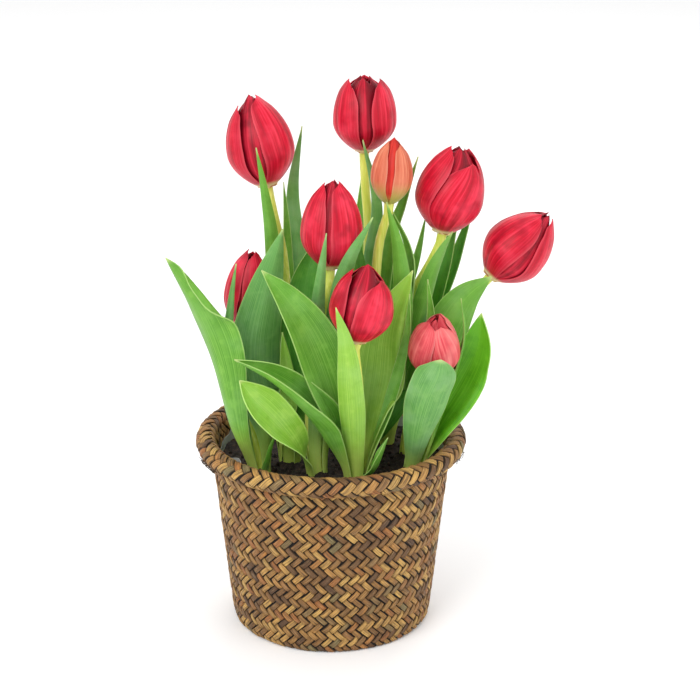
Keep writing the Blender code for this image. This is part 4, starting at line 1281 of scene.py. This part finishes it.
def rush_material():
    """Dried rush strands in brown, tan, gold and grey-green, fibred along them; their edges get painted
    shade.
    """
    material, tree, shader = new_material("plaited_rush_strands", Roughness=0.62)
    tint = add_node(tree, "Attribute", {"attribute_name": "tint"}).outputs["Fac"]
    uv = add_node(tree, "UVMap", {"uv_map": "UVMap"}).outputs[0]
    far = add_node(tree, "Math", {"operation": "MULTIPLY"}, i0=tint, i1=TINT_STRIDE).outputs[0]
    offset = add_node(tree, "CombineXYZ", X=far, Y=far)
    moved = add_node(tree, "VectorMath", {"operation": "ADD"}, i0=uv, i1=offset.outputs[0]).outputs[0]
    fibres = stretched_noise(tree, moved, (11, 1.0, 1), 1.0, 4.0, 0.65)
    threads = stretched_noise(tree, moved, (34, 1.6, 1), 1.0, 2.0)
    blotches = stretched_noise(tree, moved, (1.2, 1.6, 1), 1.0, 2.0)
    colour = ramp(tree, tint, RUSH_TINTS)
    colour = blend_colours(tree, level(tree, fibres, 0.32, 0.66, 0.85, 0.0), colour, "3A2614")
    colour = blend_colours(tree, level(tree, threads, 0.55, 0.75, 0.0, 0.5), colour, "E0BE86")
    colour = blend_colours(tree, level(tree, blotches, 0.5, 0.75, 0.0, 0.4), colour, "6E4A28")
    parts = add_node(tree, "SeparateXYZ", Vector=uv)
    # Painted shade towards the edges and ends of each stretch.
    for place, margin in zip(parts.outputs, SHADED_EDGE_MARGINS):
        centred = add_node(tree, "Math", {"operation": "SUBTRACT"}, i0=place, i1=0.5).outputs[0]
        away = add_node(tree, "Math", {"operation": "ABSOLUTE"}, i0=centred).outputs[0]
        colour = blend_colours(tree, level(tree, away, 0.5 - margin, 0.49), colour, "140C06")
    tree.links.new(colour, shader.inputs["Base Color"])
    relief = add_node(tree, "Math", {"operation": "ADD"}, i0=fibres, i1=threads).outputs[0]
    bump(tree, shader, relief, 0.0005)
    return material


RUSH = rush_material()
# Painted shadow: a near-black shell under the strands, seen through the gaps between them.
GAP_SHADOW = new_material("plaited_rush_shadow", Roughness=0.9, Base_Color=linear("120C07"))[0]
shell = outline("basket_shell", shell_profile())
apply_modifier(
    shell, "SCREW", steps=SHELL_SIDES, render_steps=SHELL_SIDES,
    use_merge_vertices=True, merge_threshold=WELD,
)
face_outwards(shell)
finish_piece(shell, GAP_SHADOW, ["basket"], 40)

# %% [markdown]
# The weave itself. Its path on the wall is a smoothed line, and for each point of it the map needs three
# things: its place, the direction out of the wall, and how far the lattice has run there, in radians. A
# stretch is a small grid. Its middle is crowned, and its outermost rows and columns drop as a skirt, so
# that no gap shows under its edges.

# %% Basket weave
STRANDS = 73  # in each family, round the basket
CELL = 2 * math.pi / STRANDS
FLAT_CELL = 4.5  # mm between strands on the underside
FLAT_RADIUS = 60.0
PATH_STEP = 0.25  # mm between points of the weave's path
PATH_SMOOTHING = 11  # points over which its corners are rounded
ALONG = np.array([-1.12, -0.95, -0.5, 0.0, 0.5, 0.95, 1.12])  # shares of a stretch's half length
ACROSS = np.array([-0.47, -0.40, 0.0, 0.40, 0.47])  # shares of a stretch's width
SKIRT = 1.4  # mm
CROWN = 0.66  # mm that a stretch's middle stands proud
LOWEST_STRAND = 0.85  # mm above the table at which the lattice under the basket lies


def moving_average(column):
    """A column of numbers smoothed over a few neighbours, its two ends kept."""
    reach = PATH_SMOOTHING // 2
    padded = np.concatenate([[column[0]] * reach, column, [column[-1]] * reach])
    return np.convolve(padded, np.ones(PATH_SMOOTHING) / PATH_SMOOTHING, "valid")


def weave_path():
    """The line that the weave follows: under the foot, up the wall, round the roll and down inside."""
    corners = [(FLAT_RADIUS, 0.6), (wall_radius(1) - 1.2, 0.7), (wall_radius(5) - 0.3, 5)]
    corners.append((wall_radius(119) - 0.3, 119))
    corners += roll_points(ROLL_RADIUS - 0.3, -112, 180, 40)
    corners.append((wall_radius(106) - 3.0, 106))
    corners = np.array(corners)
    run = np.concatenate([[0], np.cumsum(np.hypot(*np.diff(corners, axis=0).T))])
    even = np.arange(0, run[-1], PATH_STEP)
    line = np.stack([moving_average(np.interp(even, run, column)) for column in corners.T], axis=1)
    slope = np.gradient(line, axis=0)
    slope /= np.linalg.norm(slope, axis=1)[:, None]
    out = np.stack([slope[:, 1], -slope[:, 0]], axis=1)
    turn = np.concatenate([[0], np.cumsum(PATH_STEP / line[1:, 0])])
    return line, out, turn


WALL_LINE, WALL_OUT, WALL_TURN = weave_path()


def on_wall(theta, tau, lift):
    """Points of the flat lattice bent onto the basket, raised by lift in mm."""
    radius, height, out_r, out_z = (
        np.interp(tau, WALL_TURN, column) for column in (*WALL_LINE.T, *WALL_OUT.T)
    )
    radius = radius + out_r * lift
    height = np.maximum(height + out_z * lift, 0.0)
    return np.stack([radius * np.cos(theta), radius * np.sin(theta), height], axis=1)


def under_floor(x, y, lift):
    """The same lattice laid flat under the basket, where the highest strands just meet the table."""
    return np.stack([x, y, np.maximum(LOWEST_STRAND - lift, 0.0)], axis=1)


def strand_shapes(template, rows, columns, cell, place, keep, draw):
    """The raised stretches of a two over, two under weave: their points, and a tint for each.

    Rows and columns are the even ones of the lattice, and every second row leans the other way. place
    puts flat points on the basket, and keep says whether a stretch is wanted there.
    """
    grid = template_points(template) + 0.5
    s = ALONG[np.rint(grid[:, 1] * (len(ALONG) - 1)).astype(int)]
    t = ACROSS[np.rint(grid[:, 0] * (len(ACROSS) - 1)).astype(int)]
    skirt = (np.abs(t) > 0.45) | (np.abs(s) > 1.0)
    body = CROWN - 0.70 * s**4 - 0.45 * t * t - SKIRT * skirt
    shapes, tints = [], []
    families = draw.uniform(0, 1, (2, 4 * STRANDS))
    for row in rows:
        lean = 1 if row % 4 == 0 else -1
        along = np.array([lean, 1.0]) / 2
        across = np.array([1.0, -lean]) / 2
        for column in columns:
            centre = np.array([column / 2, row / 2]) + along * 0.5 + draw.normal(0, 0.04, 2)
            if not keep(centre * cell):
                continue
            wide = draw.uniform(0.80, 1.0)
            tall = draw.normal(0, 0.14)
            bow = draw.normal(0, 0.03)
            flat = centre + s[:, None] * along + (t * wide + bow * (1 - s * s))[:, None] * across
            flat = flat * cell
            shapes.append(place(flat[:, 0], flat[:, 1], body + tall))
            strand = families[0 if lean > 0 else 1, (row - lean * column) // 2 % (4 * STRANDS)]
            tints.append(0.3 * strand + 0.7 * draw.uniform(0, 1))
    return shapes, tints


def make_weave(name, rows, columns, cell, place, keep, seed):
    """The plaiting of one face of the basket, as one object."""
    template = add(
        bpy.ops.mesh.primitive_grid_add, "stretch", size=1, calc_uvs=True,
        x_subdivisions=len(ACROSS) - 1, y_subdivisions=len(ALONG) - 1,
    )
    draw = np.random.default_rng(seed)
    shapes, tints = strand_shapes(template, rows, columns, cell, place, keep, draw)
    weave = stacked(name, template, shapes, tints)
    print(name, len(shapes), "stretches")
    return finish_piece(weave, RUSH, ["basket"], 60)


wall_rows = int((WALL_TURN[-1] - CELL) / (CELL / 2))
make_weave(
    "weave_wall", range(2, wall_rows, 2), range(0, 2 * STRANDS, 2), CELL,
    on_wall, lambda centre: True, 31,
)
flat_half = int(2 * FLAT_RADIUS / FLAT_CELL) + 2
even_cells = [cell for cell in range(-flat_half, flat_half) if cell % 2 == 0]
make_weave(
    "weave_underside", even_cells, even_cells, FLAT_CELL,
    under_floor, lambda centre: math.hypot(*centre) < FLAT_RADIUS + 1.5, 32,
)

# %% [markdown]
# Some fibres have worked loose under the rim, most of them on its left. Each is a thin curled thread, a
# curve with a round bevel, that wanders close to the rim.

# %% Loose fibres
FRAYS = [
    # bearing round the basket and place round the rim's section, both in degrees, and how many fibres
    (200, -48, 10),
    (208, -55, 10),
    (340, -25, 3),
    (322, -60, 3),
]
FIBRE_RADIUS = 0.3
FIBRE_STEPS = 5
FIBRE_POINTS = 16
FIBRE_TAPER = 0.5
draw = np.random.default_rng(77)
fibres = []
for bearing, place, count in FRAYS:
    for _ in range(count):
        degrees, section = bearing + draw.normal(0, 2.5), place + draw.normal(0, 14)
        points = []
        for _ in range(FIBRE_STEPS):
            lift = ROLL_RADIUS + draw.uniform(0.0, 1.6)
            out = RIM_RADIUS - ROLL_RADIUS + lift * math.cos(math.radians(section))
            height = ROLL_HEIGHT + lift * math.sin(math.radians(section))
            points.append(out * heading(degrees) + (0, 0, height))
            degrees, section = degrees + draw.normal(0, 1.6), section + draw.normal(-3, 16)
        fibre = add(bpy.ops.curve.primitive_nurbs_path_add, "fibre")
        fibre.data.splines.clear()
        spline = fibre.data.splines.new("POLY")
        path = smooth_path(points, FIBRE_POINTS)
        spline.points.add(len(path) - 1)
        for step, (control, point) in enumerate(zip(spline.points, path)):
            control.co = (*(point * MM), 1.0)
            control.radius = 1.0 - FIBRE_TAPER * step / (len(path) - 1)
        fibre.data.bevel_depth = FIBRE_RADIUS * MM
        fibre.data.bevel_resolution = 1
        fibre.data.use_fill_caps = True
        activate(fibre)
        bpy.ops.object.convert(target="MESH")
        fibres.append(bpy.context.object)
loose = joined("loose_fibres", fibres)
FIBRE_BROWN = new_material("loose_rush_fibre", Roughness=0.6, Base_Color=linear("3E2B15"))[0]
finish_piece(loose, FIBRE_BROWN)
print("loose fibres:", len(fibres))

# %% [markdown]
# The floor is a plain pale plane, far larger than the view. The photograph's light is soft and comes from
# all round, a little stronger from the upper left, so large area lights and a pale world do it.

# %% Floor and light
FLOOR_SIZE = 40.0
PALE_FLOOR = new_material("pale_floor", Roughness=0.8, Base_Color=linear("F8F8F8"))[0]
floor_plane = add(bpy.ops.mesh.primitive_plane_add, "floor", size=FLOOR_SIZE)
floor_plane.data.materials.append(PALE_FLOOR)

LIGHTS = [
    # name, place in metres, watts, size in metres
    ("key", (-1.0, -1.4, 1.6), 26.0, 1.3),
    ("fill", (1.5, -1.0, 1.0), 9.0, 1.4),
    ("back", (0.3, 1.3, 1.7), 11.0, 1.4),
]
LIT_POINT = Vector((0, 0, 0.2))
for light_name, place, watts, size in LIGHTS:
    turned = (LIT_POINT - Vector(place)).to_track_quat("-Z", "Y").to_euler()
    bpy.ops.object.light_add(type="AREA", location=place, rotation=turned)
    lamp = bpy.context.object
    lamp.name = "light_" + light_name
    lamp.data.energy = watts
    lamp.data.size = size

WORLD_STRENGTH = 0.93
world = bpy.data.worlds.new("pale_studio")
world.use_nodes = True
background = world.node_tree.nodes["Background"]
background.inputs["Color"].default_value = linear("FFFFFF")
background.inputs["Strength"].default_value = WORLD_STRENGTH
bpy.context.scene.world = world
bpy.context.scene.view_settings.view_transform = "Standard"
print("lights:", len(LIGHTS))
